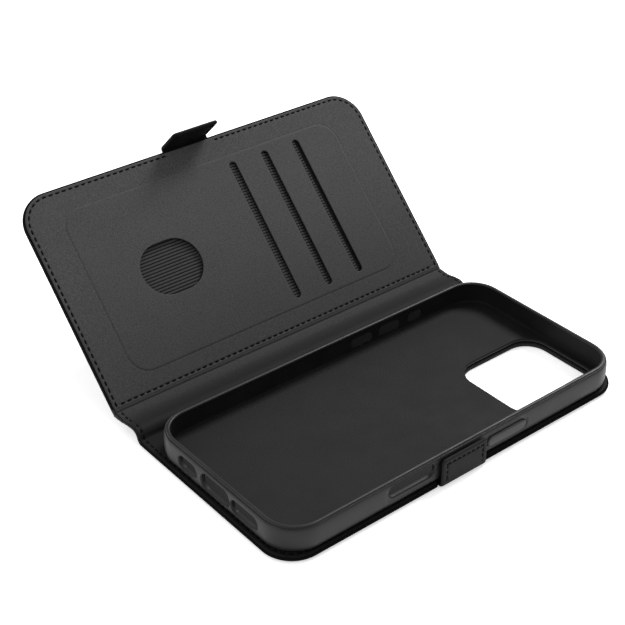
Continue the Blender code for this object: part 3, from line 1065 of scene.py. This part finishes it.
@dataclass
class BackPanel:
    """The leaf that lies on the table: a turned outer skin, a lining and the seam round them."""

    palette: Palette
    radius: float = 12.0
    skin: float = 0.5
    notch: float = 0.75
    seam: Seam = Seam()
    fold: float = -42.1

    def __post_init__(self) -> None:
        """Works out the outline and the camera's window from the frame."""
        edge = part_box("back_lining")[1].x / MM
        self.shape = LeafShape(self.fold, edge, -HALF_LENGTH, HALF_LENGTH, self.radius)
        self.window = camera_window()
        self.lips = [self.window.outline(grow) for grow in (0.12, 0.28, 0.5, 0.6)]

    def build(self) -> None:
        """Makes the panel's pieces."""
        self._skin()
        self._lining()
        self._stitches()
        dress(frame["nodes"]["back_board"], self.palette.board, "board")

    def _bend(self, point: Solid) -> Solid:
        """Draws the free edge in a little where the clasp's tab passes it."""
        x, y, z = point
        inside = smooth(y, CLASP_LOW - 0.9, CLASP_LOW - 0.2)
        inside *= smooth(-y, -CLASP_HIGH - 0.9, -CLASP_HIGH - 0.2)
        near = smooth(x, self.shape.free - 8.0, self.shape.free - 1.5)
        return (x - self.notch * inside * near, y, z)

    def _lip(self, x: float, y: float) -> float:
        """How far the sheets round off at the camera's window."""
        gap = self.window.distance(x, y)
        return 0.18 * (1.0 - min(max(gap, 0.0), 0.5) / 0.5) ** 2

    def top(self, x: float, y: float) -> float:
        """The lining's height."""
        return LEAF - self.seam.press(self.shape, x, y) - self._lip(x, y)

    def _skin(self) -> None:
        """The outer skin, turned up round three edges."""
        skinner = Skinner()
        rim = skin_rim(0.0, LEAF - 0.12, self.skin + 0.2)
        outside = skin_under(self.shape, self.seam, 0.0)

        def under(x: float, y: float) -> float:
            """The skin's outside."""
            return outside(x, y) + self._lip(x, y)

        def over(x: float, y: float) -> float:
            """The skin's inner face."""
            edge = 1.0 - smooth(self.shape.inset(x, y), 1.3, 3.5)
            return self.skin + 0.2 * edge - self._lip(x, y) * 0.4

        lines = self.seam.lines(self.shape)
        rolled_leaf(skinner, self.shape, rim, under, over, lines, (), self.lips, [self.window])
        piece = skinner.make("back_leather", bend=self._bend)
        fit(piece, self.palette.outer_skin, "outer_leather", "back", "back_outer_skin")
        # partly painted shade: the turned edge takes the near-black edge paint
        paint(piece, self.palette.edge_paint_and_shade, lambda spot, _: self.shape.inset(spot.x, spot.y) < 1.1)

    def _lining(self) -> None:
        """The lining, with the valley of its seam."""
        skinner = Skinner()
        rolled_leaf(
            skinner, self.shape, lining_rim(LEAF, LINING_THICKNESS),
            lambda x, y: LEAF - LINING_THICKNESS, self.top, (), self.seam.lines(self.shape),
            self.lips, [self.window],
        )
        piece = skinner.make("back_lining_leather", bend=self._bend)
        fit(piece, self.palette.back_lining, "lining_leather", "back", "back_lining")

    def _stitches(self) -> None:
        """The seam's thread on both faces."""
        skinner = Skinner()
        rail = [self._bend((x, y, 0.0)) for x, y in self.shape.rail(self.seam.inset)]

        def at_clasp(spot: Solid) -> bool:
            """Whether a point lies under the strap."""
            return CLASP_LOW - 1.0 < spot[1] < CLASP_HIGH + 1.0 and spot[0] > 0

        for height, way in ((LEAF - 0.12, 1), (0.3, -1)):
            path = [((x, y, height), (0, 0, way)) for x, y, _ in rail]
            self.seam.sew(skinner, path, at_clasp)
        piece = skinner.make("back_stitches")
        fit(piece, self.palette.thread, "thread", "back", "back_seam_thread")


def camera_window() -> RoundBox:
    """The window for the phone's camera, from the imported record's openings."""
    boxes = {each["name"]: each["box_m"] for each in frame["record"]["physics"]["openings"]}
    (x0, _, _), (x1, _, _) = boxes["camera_window_wide"]
    (_, y0, _), (_, y1, _) = boxes["camera_window_long"]
    play = 0.2
    width, height = (x1 - x0) / MM + 2 * play, (y1 - y0) / MM + 2 * play
    return RoundBox((x0 + x1) / 2 / MM, (y0 + y1) / 2 / MM, width, height, 9.0)


@dataclass
class Cover:
    """The front leaf: an outer skin, and a lining with card slots, a thumb hole and a frame."""

    palette: Palette
    start: float = -1.0
    reach: float = 82.3
    radius: float = 12.0
    mouth: float = 1.24
    border: float = 1.86
    field_height: float = 2.07
    bead: float = 1.7
    seam: Seam = Seam(inset=1.85)
    fold_seam: Seam = Seam(inset=1.75)
    slot_radius: float = 1.48
    slot_mouth: float = 3.0
    slot_ends: Flat = (11.5, 69.8)
    slot_places: tuple[float, ...] = (10.8, 26.2, 41.6)
    thumb: RoundBox = RoundBox(-40.5, -32.3, 19.8, 25.2, 9.85)
    frame_box: RoundBox = RoundBox(-40.5, -1.6, 65.0, 125.4, 8.0)

    def __post_init__(self) -> None:
        """Works out the outline, its frame in space and the slots."""
        self.matrix = leaf_frame(COVER_FOLD, COVER_TURN)
        self.shape = LeafShape(self.start, -self.reach, -HALF_LENGTH, HALF_LENGTH, self.radius)
        self.bottom = -LEAF / 2
        middle = -sum(self.slot_ends) / 2
        width = self.slot_ends[1] - self.slot_ends[0]
        self.slots = [
            RoundBox(middle, place, width, self.slot_mouth, self.slot_radius)
            for place in self.slot_places
        ]
        self.holes = [self.thumb, *self.slots]

    def build(self) -> None:
        """Makes the cover's pieces."""
        self._skin()
        self._lining()
        self._stitches()
        self._pockets()
        dress(frame["nodes"]["cover_board"], self.palette.board, "board")

    def top(self, x: float, y: float) -> float:
        """The lining's height over the cover's mid-plane."""
        gap = self.frame_box.distance(x, y)
        level = self.border + (self.field_height - self.border) * smooth(-gap, -0.5, 0.8)
        level -= 0.13 * max(0.0, 1.0 - abs(gap) / 0.4)
        inset = self.shape.inset(x, y)
        open_edge = CLASP_LOW - 0.5 < y < CLASP_HIGH + 0.5 and x < -70
        if not open_edge:
            level -= self.seam.press(self.shape, x, y)
        if inset > self.seam.inset - 0.3:
            level -= self.fold_seam.dip(-x - self.fold_seam.inset, y + HALF_LENGTH)
        for hole in self.holes:
            away = hole.distance(x, y)
            if away < 0.45:
                level -= 0.26 * (1.0 - max(away, 0.0) / 0.45) ** 2
        wave = noise.noise(Vector((x / 34.0, y / 34.0, 0.3)))
        return level + 0.05 * wave * smooth(inset, 3.0, 9.0)

    def _skin(self) -> None:
        """The outer skin, turned up round three edges."""
        skinner = Skinner()
        over = self.bottom + 0.5
        rim = skin_rim(self.bottom, self.bead, over + 0.25)
        rolled_leaf(
            skinner, self.shape, rim, skin_under(self.shape, self.seam, self.bottom),
            lambda x, y: over + 0.25 * (1.0 - smooth(self.shape.inset(x, y), 1.3, 3.5)),
            self.seam.lines(self.shape),
        )
        piece = skinner.make("cover_leather", self.matrix)
        fit(piece, self.palette.outer_skin, "outer_leather", "cover", "cover_outer_skin")
        # partly painted shade: the turned edge takes the near-black edge paint
        paint(piece, self.palette.edge_paint_and_shade, lambda spot, _: self.shape.inset(spot.x, spot.y) < 1.1)

    def _lining(self) -> None:
        """The lining, with its slots, thumb hole, seam valleys and embossed frame."""
        skinner = Skinner()
        lines = self.seam.lines(self.shape)
        low, high, past_start = -HALF_LENGTH + 1.6, HALF_LENGTH - 1.6, 1.05
        count = int((high - low) / 0.9)
        row = [low + (high - low) * place / count for place in range(count + 1)]
        for inset in self.fold_seam.insets:
            if inset > past_start:
                lines.append([(-inset, y) for y in row])
        emboss = (-1.0, -0.8, -0.45, -0.2, 0.0, 0.2, 0.45, 0.6)
        loops = [self.frame_box.outline(grow, 3.0) for grow in emboss]
        for hole in self.holes:
            loops += [hole.outline(grow) for grow in (0.1, 0.22, 0.34, 0.45, 0.52)]

        def under(x: float, y: float) -> float:
            """The lining's lower face, raised with its field."""
            inside = smooth(-self.frame_box.distance(x, y), -0.5, 0.8)
            lift = (self.field_height - self.border + 0.07) * inside
            return self.border - LINING_THICKNESS + lift

        rim = lining_rim(self.border, LINING_THICKNESS)
        rolled_leaf(skinner, self.shape, rim, under, self.top, loops[2:5], lines, loops, self.holes)
        piece = skinner.make("cover_lining_leather", self.matrix)
        fit(piece, self.palette.cover_lining, "lining_leather", "cover", "pocket_panel")
        # partly painted shade: the walls of the slots and the thumb hole take the near-black edge paint
        paint(piece, self.palette.edge_paint_and_shade, self._cut)

    def _cut(self, spot: Vector, normal: Vector) -> bool:
        """Whether a face is in the wall of a hole."""
        near = min(abs(hole.distance(spot.x, spot.y)) for hole in self.holes)
        return near < 0.2 and abs(normal.z) < 0.7

    def _stitches(self) -> None:
        """The rows round the cover and along its fold."""
        skinner = Skinner()

        def at_clasp(spot: Solid) -> bool:
            """Whether a point lies under the strap."""
            return CLASP_LOW - 0.3 < spot[1] < CLASP_HIGH + 0.3 and spot[0] < -70

        height = self.border - 0.1
        for level, way in ((height, 1), (self.bottom + 0.2, -1)):
            path = [((x, y, level), (0, 0, way)) for x, y in self.shape.rail(self.seam.inset)]
            self.seam.sew(skinner, path, at_clasp)
        ends = (-HALF_LENGTH + 3.2, HALF_LENGTH - 3.2)
        across = -self.fold_seam.inset
        self.fold_seam.sew(skinner, [((across, y, height), (0, 0, 1)) for y in ends])
        piece = skinner.make("cover_stitches", self.matrix)
        fit(piece, self.palette.thread, "thread", "cover", "cover_seam_thread")

    def _pockets(self) -> None:
        """Three sheets of ribbed cloth, each raised to the pocket's mouth behind its slot."""
        tops = {"pocket_backing": 0.6, "inner_pocket_divider": 0.92, "outer_pocket_divider": 1.24}
        for (node, top), slot in zip(tops.items(), reversed(self.slot_places)):
            span = (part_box(node)[0].y / MM, slot + 0.15)
            self._ribs(node, (RIB_START, -8.0), span, top, node != "pocket_backing")

    def _ribs(self, node: str, side: Flat, span: Flat, top: float, holed: bool) -> None:
        """One ribbed sheet.

        Args:
            node: the CAD node that it stands for.
            side: its ends across the cover.
            span: its ends along the book.
            top: the height of its ribs' crests.
            holed: whether the thumb hole goes through it.
        """
        depth, thickness, steps = 0.25, 0.31, 6
        count = int((side[1] - side[0]) / RIB_PITCH)
        bands = [span]
        if holed:
            low = self.thumb.y - self.thumb.height / 2
            high = self.thumb.y + self.thumb.height / 2
            bands = [(span[0], low), (low, high), (high, span[1])]
        skinner = Skinner()
        row = []
        for place in range(count * steps + 1):
            x = side[0] + place * RIB_PITCH / steps
            crest = abs(math.sin(math.pi * place / steps))
            row.append((x, top - depth * (1.0 - crest ** 0.8)))
        foot = top - thickness

        def body(part: Sequence[Flat], low: float, high: float, lift: float = 0.0) -> None:
            """Adds some of the ribs, over a band along the book."""
            outline = [*part, (part[-1][0], foot), (part[0][0], foot)]
            spots = [(low, 0.0), (high - 7.0, 0.0), (high - 3.0, lift), (high, lift)]
            used = spots if lift else spots[::3]
            skinner.loft([[(x, y, z + up) for x, z in outline] for y, up in used])

        for place, (low, high) in enumerate(bands):
            if place == 1:
                half = self.thumb.width / 2
                body([point for point in row if point[0] < self.thumb.x - half], low, high)
                body([point for point in row if point[0] > self.thumb.x + half], low, high)
            else:
                body(row, low, high, self.mouth - top if high == span[1] else 0.0)
        piece = skinner.make(node + "_cloth", self.matrix, sharp=70.0)
        fit(piece, self.palette.cloth, "ribbed_cloth", "cover", node)
        flat = ((side[1] - side[0]) * MM, (span[1] - span[0]) * MM)
        notch = self.thumb.width * self.thumb.height * MM * MM if holed else 0.0
        flat[0] * flat[1] - notch


@dataclass
class Spine:
    """The spine's leather, which bends across both folds, and the stiff strip inside it."""

    palette: Palette
    cover: Cover
    back: BackPanel
    seam: Seam = Seam(length=1.75, pitch=2.5)
    stations: int = 120
    crease: float = -0.45
    strip_span: Flat = (0.34, 0.68)

    def __post_init__(self) -> None:
        """Draws the line of the lining's face, from the back panel to the cover."""
        end = cover_point(-self.cover.start, self.cover.border)
        crease = cover_point(0.0, self.cover.border)
        knots = [
            (self.back.fold, LEAF), (-42.75, 2.5), (-43.4, 3.9), (-44.6, 5.1), (-46.4, 5.6),
            (-49.4, 5.4), (-53.0, 4.9), (-55.4, 5.1), (-56.8, crease[1] - 0.45), crease, end,
        ]
        self.line = self._curve(knots)

    def _curve(self, knots: Sequence[Flat]) -> list[tuple[Flat, Flat]]:
        """A smooth line through knots.

        Args:
            knots: the points, from the back panel to the cover.

        Returns:
            Evenly spaced points, each with the way up from the leather.
        """
        first = (knots[0][0] + 1.0, knots[0][1])
        last = cover_point(-self.cover.start + 1.0, self.cover.border)
        spots = [Vector(each) for each in (first, *knots, last)]
        dense = []
        for a, b, c, d in zip(spots, spots[1:], spots[2:], spots[3:]):
            for place in range(16):
                t = place / 16
                dense.append(
                    (b * 2 + (c - a) * t + (a * 2 - b * 5 + c * 4 - d) * t * t
                     + (b * 3 - a - c * 3 + d) * t ** 3) / 2
                )
        dense.append(spots[-2])
        track = Track(dense)
        self.length = track.far[-1]
        line = []
        for place in range(self.stations + 1):
            after, share = track.find(self.length * place / self.stations)
            spot = dense[after - 1].lerp(dense[after], share)
            way = (dense[after] - dense[after - 1]).normalized()
            line.append(((spot.x, spot.y), (way.y, -way.x)))
        self._press(line)
        ends = {0: (0.0, 1.0), self.stations: (math.sin(COVER_TURN), math.cos(COVER_TURN))}
        for place, up in ends.items():
            line[place] = (line[place][0], up)
        return line

    def _press(self, line: list[tuple[Flat, Flat]]) -> None:
        """Presses the crease along the cover's fold into the line."""
        crease = Vector(cover_point(self.crease, self.cover.border))
        for place, ((x, z), up) in enumerate(line):
            off = (Vector((x, z)) - crease).length
            deep = 0.5 * max(0.0, 1.0 - off / 0.4)
            line[place] = ((x - up[0] * deep, z - up[1] * deep), up)

    def _thickness(self, place: int) -> float:
        """The leather's whole thickness at a station."""
        share = place / self.stations
        cover_thickness = self.cover.border - self.cover.bottom
        slim = 0.35 * math.sin(math.pi * share)
        return LEAF + (cover_thickness - LEAF) * smooth(share, 0.55, 1.0) - slim

    def _sweep(self, name: str, first: int, last: int,
               section: Callable[[int], list[Flat]]) -> Object:
        """A body along part of the line.

        Args:
            name: its name.
            first: its first station.
            last: its last station.
            section: its outline at a station, as (y, height below or above the lining's face).
        """
        loops = []
        for place in range(first, last + 1):
            (x, z), (up_x, up_z) = self.line[place]
            edge = section(place)
            loops.append([(x + up_x * height, y, z + up_z * height) for y, height in edge])
        skinner = Skinner()
        skinner.loft(loops)
        return skinner.make(name)

    def _skin_section(self, place: int) -> list[Flat]:
        """The outer skin's section, with its turned ends."""
        thick = self._thickness(place)
        bead = 0.28 + 0.02 * place / self.stations
        rim = skin_rim(-thick, -bead, -thick + 0.7)
        high = [(HALF_LENGTH - inset, height) for inset, height in rim]
        low = [(-y, height) for y, height in reversed(high)]
        inside = [(side * (HALF_LENGTH - 3.5), -thick + 0.5) for side in (1, -1)]
        return high + inside + low

    def _lining_section(self, place: int) -> list[Flat]:
        """The lining's section, with the valleys of the seams across its ends."""
        thickness = 0.5
        rim = lining_rim(0.0, thickness)
        rim[0] = (1.5, -thickness)
        along = self.length * place / self.stations
        valley = [
            (inset, -self.seam.dip(inset - self.seam.inset, along))
            for inset in self.seam.insets if inset > RIM_END
        ]
        high = [(HALF_LENGTH - inset, height) for inset, height in rim + valley]
        low = [(-y, height) for y, height in reversed(high)]
        return high + low

    def _blend(self, piece: Object, finish: Material, slot: str, near_back: bool) -> None:
        """Dresses a half of the spine's leather and bakes its transform into its mesh."""
        dress(piece, finish, slot)
        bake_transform(piece)

    def build(self) -> None:
        """Makes the spine's pieces."""
        middle = self.stations // 2
        halves = [("lower", 0, middle, True), ("upper", middle, self.stations, False)]
        for word, first, last, near_back in halves:
            skin = self._sweep(f"spine_leather_{word}", first, last, self._skin_section)
            self._blend(skin, self.palette.outer_skin, "outer_leather", near_back)
            lining = self._sweep(f"spine_lining_{word}", first, last, self._lining_section)
            self._blend(lining, self.palette.spine_lining, "lining_leather", near_back)
            thread = self._stitches(f"spine_stitches_{word}", first, last)
            self._blend(thread, self.palette.thread, "thread", near_back)
            if near_back:
                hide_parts("spine_outer_skin")
                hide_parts("spine_lining")
        self._strip()

    def _stitches(self, name: str, first: int, last: int) -> Object:
        """The short rows across the spine's two ends."""
        skinner = Skinner()
        for side in (-1, 1):
            y = side * (HALF_LENGTH - self.seam.inset)
            inner, outer = [], []
            for place in range(first, last + 1):
                (x, z), (up_x, up_z) = self.line[place]
                deep = self._thickness(place) - 0.12
                inner.append(((x - up_x * 0.1, y, z - up_z * 0.1), (up_x, 0.0, up_z)))
                outer.append(((x - up_x * deep, y, z - up_z * deep), (-up_x, 0.0, -up_z)))
            self.seam.sew(skinner, inner)
            self.seam.sew(skinner, outer)
        return skinner.make(name)

    def _strip(self) -> None:
        """The stiff strip, between the lining and the skin."""

        def section(place: int) -> list[Flat]:
            """The strip's section at a station."""
            half = HALF_LENGTH - 4.2
            low = -self._thickness(place) + 0.55
            return [(-half, low), (half, low), (half, -0.55), (-half, -0.55)]

        first, last = (int(self.stations * share) for share in self.strip_span)
        piece = self._sweep("spine_board", first, last, section)
        fit(piece, self.palette.board, "board", "spine", "spine_strip")


@dataclass
class PhoneShell:
    """The soft shell on the back panel, with its openings, and the pads over the phone's keys."""

    palette: Palette
    radius: float = 12.8
    seat: float = 3.6
    rim: float = 12.4
    play: float = 0.28

    def __post_init__(self) -> None:
        """Works out the shell's outline from the frame."""
        low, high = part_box("phone_tray")
        self.half_x, self.half_y, self.foot = high.x / MM, high.y / MM, low.z / MM
        self.plan = RoundBox(0.0, 0.0, 2 * self.half_x, 2 * self.half_y, self.radius)

    def _profile(self) -> list[Flat]:
        """The wall's section as (inset, height), up the outside and down the inside."""
        foot, rim = self.foot, self.rim
        return [
            (2.6, foot), (1.7, foot + 0.02), (1.15, foot + 0.12), (0.8, foot + 0.34),
            (0.62, foot + 0.62), (0.46, foot + 0.95), (0.28, foot + 1.5), (0.12, foot + 2.4),
            (0.03, foot + 3.6), (0.0, foot + 5.0), (0.01, foot + 6.2), (0.05, foot + 7.2),
            (0.14, foot + 8.1), (0.28, rim - 1.15), (0.44, rim - 0.82), (0.58, rim - 0.66),
            (0.68, rim - 0.68), (0.76, rim - 0.74), (0.84, rim - 0.72), (0.9, rim - 0.58),
            (0.98, rim - 0.3), (1.12, rim - 0.1), (1.34, rim - 0.01), (1.62, rim),
            (1.92, rim - 0.04), (2.14, rim - 0.16), (2.27, rim - 0.36), (2.3, rim - 0.58),
            (2.22, rim - 0.76), (2.0, rim - 0.88), (1.78, rim - 1.0), (1.75, rim - 1.3),
            (1.75, self.seat + 1.0), (1.8, self.seat + 0.4), (2.0, self.seat + 0.1),
            (2.4, self.seat),
        ]

    def build(self) -> None:
        """Makes the shell with its openings, its pads and the glue under it."""
        skinner = Skinner()
        loops = []
        for inset, height in self._profile():
            outline = self.plan.outline(-inset, 1.4, 22)
            loops.append([(x, y, height) for x, y in outline])
        skinner.loft(loops)
        shell = skinner.make("phone_shell")
        cutters = self._cutters()
        for cutter in cutters:
            modifier = shell.modifiers.new(cutter.name, "BOOLEAN")
            modifier.operation = "DIFFERENCE"
            modifier.solver = "EXACT"
            modifier.object = cutter
        view = bpy.context.evaluated_depsgraph_get()
        cut = bpy.data.meshes.new_from_object(shell.evaluated_get(view))
        shell.modifiers.clear()
        shell.data = cut
        for cutter in cutters:
            bpy.data.objects.remove(cutter)
        cut.shade_smooth()
        cut.set_sharp_from_angle(angle=math.radians(32))
        dress(shell, self.palette.shell, "soft_shell")
        for finish in (self.palette.shell_floor, self.palette.shell_wall):
            shell.data.materials.append(finish)
        for face in cut.polygons:
            x, y, z = face.center / MM
            if self.plan.distance(x, y) < -1.7 and self.foot + 0.6 < z < self.rim - 0.9:
                face.material_index = 1 if face.normal.z > 0.7 else 2
        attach(shell, "back")
        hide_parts("phone_tray")
        self._pads()
        dress(frame["nodes"]["tray_adhesive"], self.palette.glue, "glue_film")

    def _cutter(self, name: str, hole: RoundBox, stations: Sequence[Flat],
                place: Callable[[float, float, float], Solid]) -> Object:
        """A hole's cutter, which flares at the surface so that the hole's edge is round.

        Args:
            name: its name.
            hole: the hole in the wall's plane.
            stations: pairs of a depth and how much the hole is wider there.
            place: turns the hole's two coordinates and a depth into a point.
        """
        skinner = Skinner()
        loops = []
        for depth, grow in stations:
            loops.append([place(a, b, depth) for a, b in hole.outline(grow, 1.2, 8)])
        skinner.loft(loops)
        made = skinner.make(name)
        made.hide_render = True
        return made

    def _cutters(self) -> list[Object]:
        """Every opening in the shell."""
        through = [(1.6, 1.5), (0.25, 0.75), (0.02, 0.5), (-0.14, 0.3), (-0.34, 0.14),
                   (-0.6, 0.04), (-0.85, 0.0), (-4.0, 0.0)]
        shallow = [(1.6, 1.6), (0.2, 0.75), (0.0, 0.5), (-0.1, 0.3), (-0.2, 0.1), (-0.3, -0.2),
                   (-0.36, -0.6)]

        def end_wall(a: float, b: float, depth: float) -> Solid:
            """A point of the bottom end's wall."""
            return (a, -self.half_y - depth, b)

        def side_wall(side: float) -> Callable[[float, float, float], Solid]:
            """What places points on one long wall."""
            return lambda a, b, depth: (side * (self.half_x + depth), a, b)

        middle = self.seat + 7.95 / 2
        made = []
        ends = {"port": (0.0, 15.4, 6.6), "sound_low": (-15.3, 10.0, 5.0),
                "sound_high": (15.5, 13.8, 5.0)}
        for name, (x, width, height) in ends.items():
            hole = RoundBox(x, middle - 0.2, width, height, height * 0.49)
            made.append(self._cutter(name, hole, through, end_wall))
        recess = RoundBox(-4.3, 7.35, 64.4, 6.6, 3.2)
        made.append(self._cutter("side_recess", recess, shallow, side_wall(1)))
        back_recess = RoundBox(30.0, 7.2, 42.0, 6.4, 3.1)
        made.append(self._cutter("far_recess", back_recess, shallow, side_wall(-1)))
        key = RoundBox(-25.2, middle + 0.7, 20.0, 4.8, 2.35)
        key_stations = [(depth - 0.3 if depth < 1 else depth, grow) for depth, grow in through]
        made.append(self._cutter("capture_key", key, key_stations, side_wall(1)))
        for node, _, side in self._keys():
            hole, gap = self._pill(node, self.play), [(1.6, 0.0), (-4.0, 0.0)]
            made.append(self._cutter(node + "_gap", hole, gap, side_wall(side)))
        window = camera_window()
        lips = [(self.foot - 1.0, 0.3), (self.foot, 0.25), (self.foot + 0.25, 0.05),
                (self.foot + 0.5, 0.0), (self.seat - 0.3, 0.0), (self.seat, 0.22),
                (self.seat + 1.0, 0.3)]
        skinner = Skinner()
        skinner.loft([
            [(x, y, height) for x, y in window.outline(grow, 1.2, 16)] for height, grow in lips
        ])
        made.append(skinner.make("camera_window"))
        return made

    @staticmethod
    def _keys() -> list[tuple[str, str, int]]:
        """Each pad's CAD node, its body and its side of the shell."""
        return [
            ("power_button_pad", "power_button", 1),
            ("volume_up_pad", "volume_up", -1),
            ("volume_down_pad", "volume_down", -1),
            ("action_button_pad", "action_button", -1),
        ]

    @staticmethod
    def _pill(node: str, play: float = 0.0) -> RoundBox:
        """A key pad's outline in the wall's plane, with some play round it."""
        low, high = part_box(node)
        length, tall = (high.y - low.y) / MM + 2 * play, (high.z - low.z) / MM + 2 * play
        middle = ((low.y + high.y) / 2 / MM, (low.z + high.z) / 2 / MM)
        return RoundBox(*middle, length, tall, tall * 0.49)

    def _pads(self) -> None:
        """The raised pads, each with a soft crown."""
        crown = [(0.0, 0.0), (1.25, 0.0), (1.62, -0.05), (1.82, -0.16), (1.95, -0.38),
                 (2.0, -0.75)]
        for node, body, side in self._keys():
            low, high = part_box(node)
            pill, inner = self._pill(node), (low.x if side > 0 else high.x) / MM
            skinner = Skinner()
            skinner.loft([
                [(inner + side * depth, y, z) for y, z in pill.outline(grow, 0.8, 8)]
                for depth, grow in crown
            ])
            piece = skinner.make(node.replace("_pad", "_key_pad"))
            fit(piece, self.palette.pad, "button_pad", body, node)


@dataclass
class ClaspStrap:
    """One strap of the clasp: two leathers round a magnet, sewn round the edge."""

    palette: Palette
    name: str
    parent: str
    fold: Vector
    turn: float
    side: float
    length: float
    start: float = 1.9
    half: float = 0.8
    radius: float = 1.5
    seam: Seam = Seam(inset=2.05, pitch=2.15, length=1.55, width=0.66, valley=0.22, reach=0.65)

    def __post_init__(self) -> None:
        """Works out the strap's outline and its frame in space."""
        self.matrix = leaf_frame(self.fold, self.turn)
        fold, free = self.side * self.start, self.side * self.length
        self.shape = LeafShape(fold, free, CLASP_LOW, CLASP_HIGH, self.radius, 0.5, 9)
        self.outside = self.half - 0.06

    def build(self) -> None:
        """Makes the strap's pieces."""
        self._leather("leather", -1.0, self.palette.strap_skin, "outer_leather", "_outer_skin")
        self._leather("lining_leather", 1.0, self.palette.strap_lining, "lining_leather", "_lining")
        self._stitches()
        dress(frame["nodes"][self.name + "_magnet"], self.palette.nickel, "magnet")

    def face(self, x: float, y: float) -> float:
        """How far the outside stands from the strap's middle."""
        pillow = 0.08 * smooth(self.shape.inset(x, y), 2.2, 4.5)
        return self.outside + pillow - self.seam.press(self.shape, x, y)

    def _leather(self, word: str, way: float, finish: Material, slot: str, node: str) -> None:
        """One face of the strap, turned in at its edge.

        Args:
            word: the end of the piece's name.
            way: -1 for the outside and 1 for the inside.
            finish: its material.
            slot: its slot in the record; not used.
            node: the end of the CAD node's name.
        """
        turned = [(1.0, 0.0), (0.55, 0.04), (0.26, 0.16), (0.08, 0.36), (0.0, 0.56)]
        edge = [(inset, self.outside - drop) for inset, drop in turned]
        edge += [(0.0, 0.03), (0.6, 0.02), (1.1, 0.3)]
        rim = [(inset, way * height) for inset, height in edge]
        skinner = Skinner()
        rolled_leaf(
            skinner, self.shape, rim, lambda x, y: way * self.face(x, y), lambda x, y: way * 0.3,
            self.seam.lines(self.shape),
        )
        piece = skinner.make(f"{self.name}_{word}", self.matrix)
        fit(piece, finish, slot, self.name, self.name + node)

    def _stitches(self) -> None:
        """The seam's thread on both faces."""
        skinner = Skinner()
        height = self.half - 0.28
        for way in (-1, 1):
            rail = self.shape.rail(self.seam.inset)
            self.seam.sew(skinner, [((x, y, way * height), (0, 0, way)) for x, y in rail])
        piece = skinner.make(self.name + "_stitches", self.matrix)
        fit(piece, self.palette.thread, "thread", self.name, self.name + "_thread")

    def roll(self, knots: Sequence[Flat], ends: tuple[Flat, Flat], start: Flat, end: Flat) -> None:
        """The leather where the strap bends, from its leaf to the strap.

        Args:
            knots: the middle of its section in the row frame, as (x, z), from the leaf on.
            ends: the way up from the leather at the first and the last knot.
            start: where the bend starts, as (x, z); not used.
            end: where it ends; not used.
        """
        layers = [("skin", -1.0, self.palette.strap_skin, "outer_leather"),
                  ("lining", 1.0, self.palette.strap_lining, "lining_leather")]
        turned = [(0.0, 0.5), (0.1, 0.3), (0.3, 0.12), (0.6, 0.03), (1.0, 0.0)]
        edge = [(0.0, 0.02), *((inset, self.outside - drop) for inset, drop in turned)]
        section = [(CLASP_LOW + inset, height) for inset, height in edge]
        section += [(CLASP_HIGH - inset, height) for inset, height in reversed(edge)]
        ways = (Vector(ends[0]), Vector(ends[1]))
        for word, way, finish, slot in layers:
            loops = []
            for place, (x, z) in enumerate(knots):
                before, after = knots[max(place - 1, 0)], knots[min(place + 1, len(knots) - 1)]
                step = Vector((after[0] - before[0], after[1] - before[1])).normalized()
                up = Vector((-step.y, step.x))
                if place == 0:
                    up = ways[0]
                elif place == len(knots) - 1:
                    up = ways[1]
                elif up.dot(ways[0] + ways[1]) < 0:
                    up = -up
                loops.append([(x + up.x * way * h, y, z + up.y * way * h) for y, h in section])
            skinner = Skinner()
            skinner.loft(loops)
            piece = skinner.make(f"{self.name}_fold_{word}")
            dress(piece, finish, slot)
            start[0] * MM
            start[1] * MM
            end[0] * MM
            end[1] * MM
            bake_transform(piece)


def bend_line(reach: float, runs: Flat, strap: ClaspStrap) -> list[Flat]:
    """The middle of a strap's bend, as (reach, height), from inside the leaf up to the strap.

    Args:
        reach: how far out the strap stands.
        runs: how far in from there its first two points lie.
        strap: the strap.
    """
    line: list[Flat] = [(reach - run, 0.0) for run in runs]
    for place in range(7):
        angle = place / 6 * math.pi / 2
        out, up = STRAP_BEND * math.sin(angle), STRAP_BEND * math.cos(angle)
        line.append((reach - STRAP_BEND + out, STRAP_BEND - up))
    return line + [(reach, STRAP_BEND + 0.5), (reach, strap.start)]


def tab_roll(strap: ClaspStrap) -> None:
    """The tab's bend, from inside the back panel's edge up to the strap."""
    x, z = TAB_FOLD.x, TAB_FOLD.z
    knots = [(out, z + up) for out, up in bend_line(x, (2.6, 1.6), strap)]
    strap.roll(knots, ((0.0, 1.0), (-1.0, 0.0)), (x - 1.2, z), (x - 0.1, z + 1.4))


def flap_roll(strap: ClaspStrap) -> None:
    """The flap's bend, from inside the cover's free edge to the strap."""
    reach = (FLAP_FOLD - COVER_FOLD).length
    knots = [cover_point(*each) for each in bend_line(reach, (3.2, 1.8), strap)]
    up = (math.sin(COVER_TURN), math.cos(COVER_TURN))
    back = (math.cos(COVER_TURN), -math.sin(COVER_TURN))
    strap.roll(knots, (up, back), cover_point(reach - 1.2, 0.0), cover_point(reach - 0.1, 1.4))


def main() -> None:
    """Builds the studio and the case, one sub-assembly after another."""
    logging.basicConfig(level=logging.INFO, format="%(message)s")
    palette = Palette()
    cover = Cover(palette)
    back = BackPanel(palette)
    upright = math.pi / 2
    flap = ClaspStrap(palette, "clasp_flap", "cover", FLAP_FOLD, COVER_TURN + upright, -1.0, 13.0)
    tab = ClaspStrap(palette, "clasp_tab", "back", TAB_FOLD, -upright, 1.0, 10.5)
    parts = {
        "studio": Studio(), "back panel": back, "cover": cover,
        "spine": Spine(palette, cover, back), "phone shell": PhoneShell(palette),
        "clasp flap": flap, "clasp tab": tab,
    }
    for name, part in parts.items():
        part.build()
        LOG.info("built the %s", name)
    flap_roll(flap)
    tab_roll(tab)


if __name__ == "__main__":
    main()
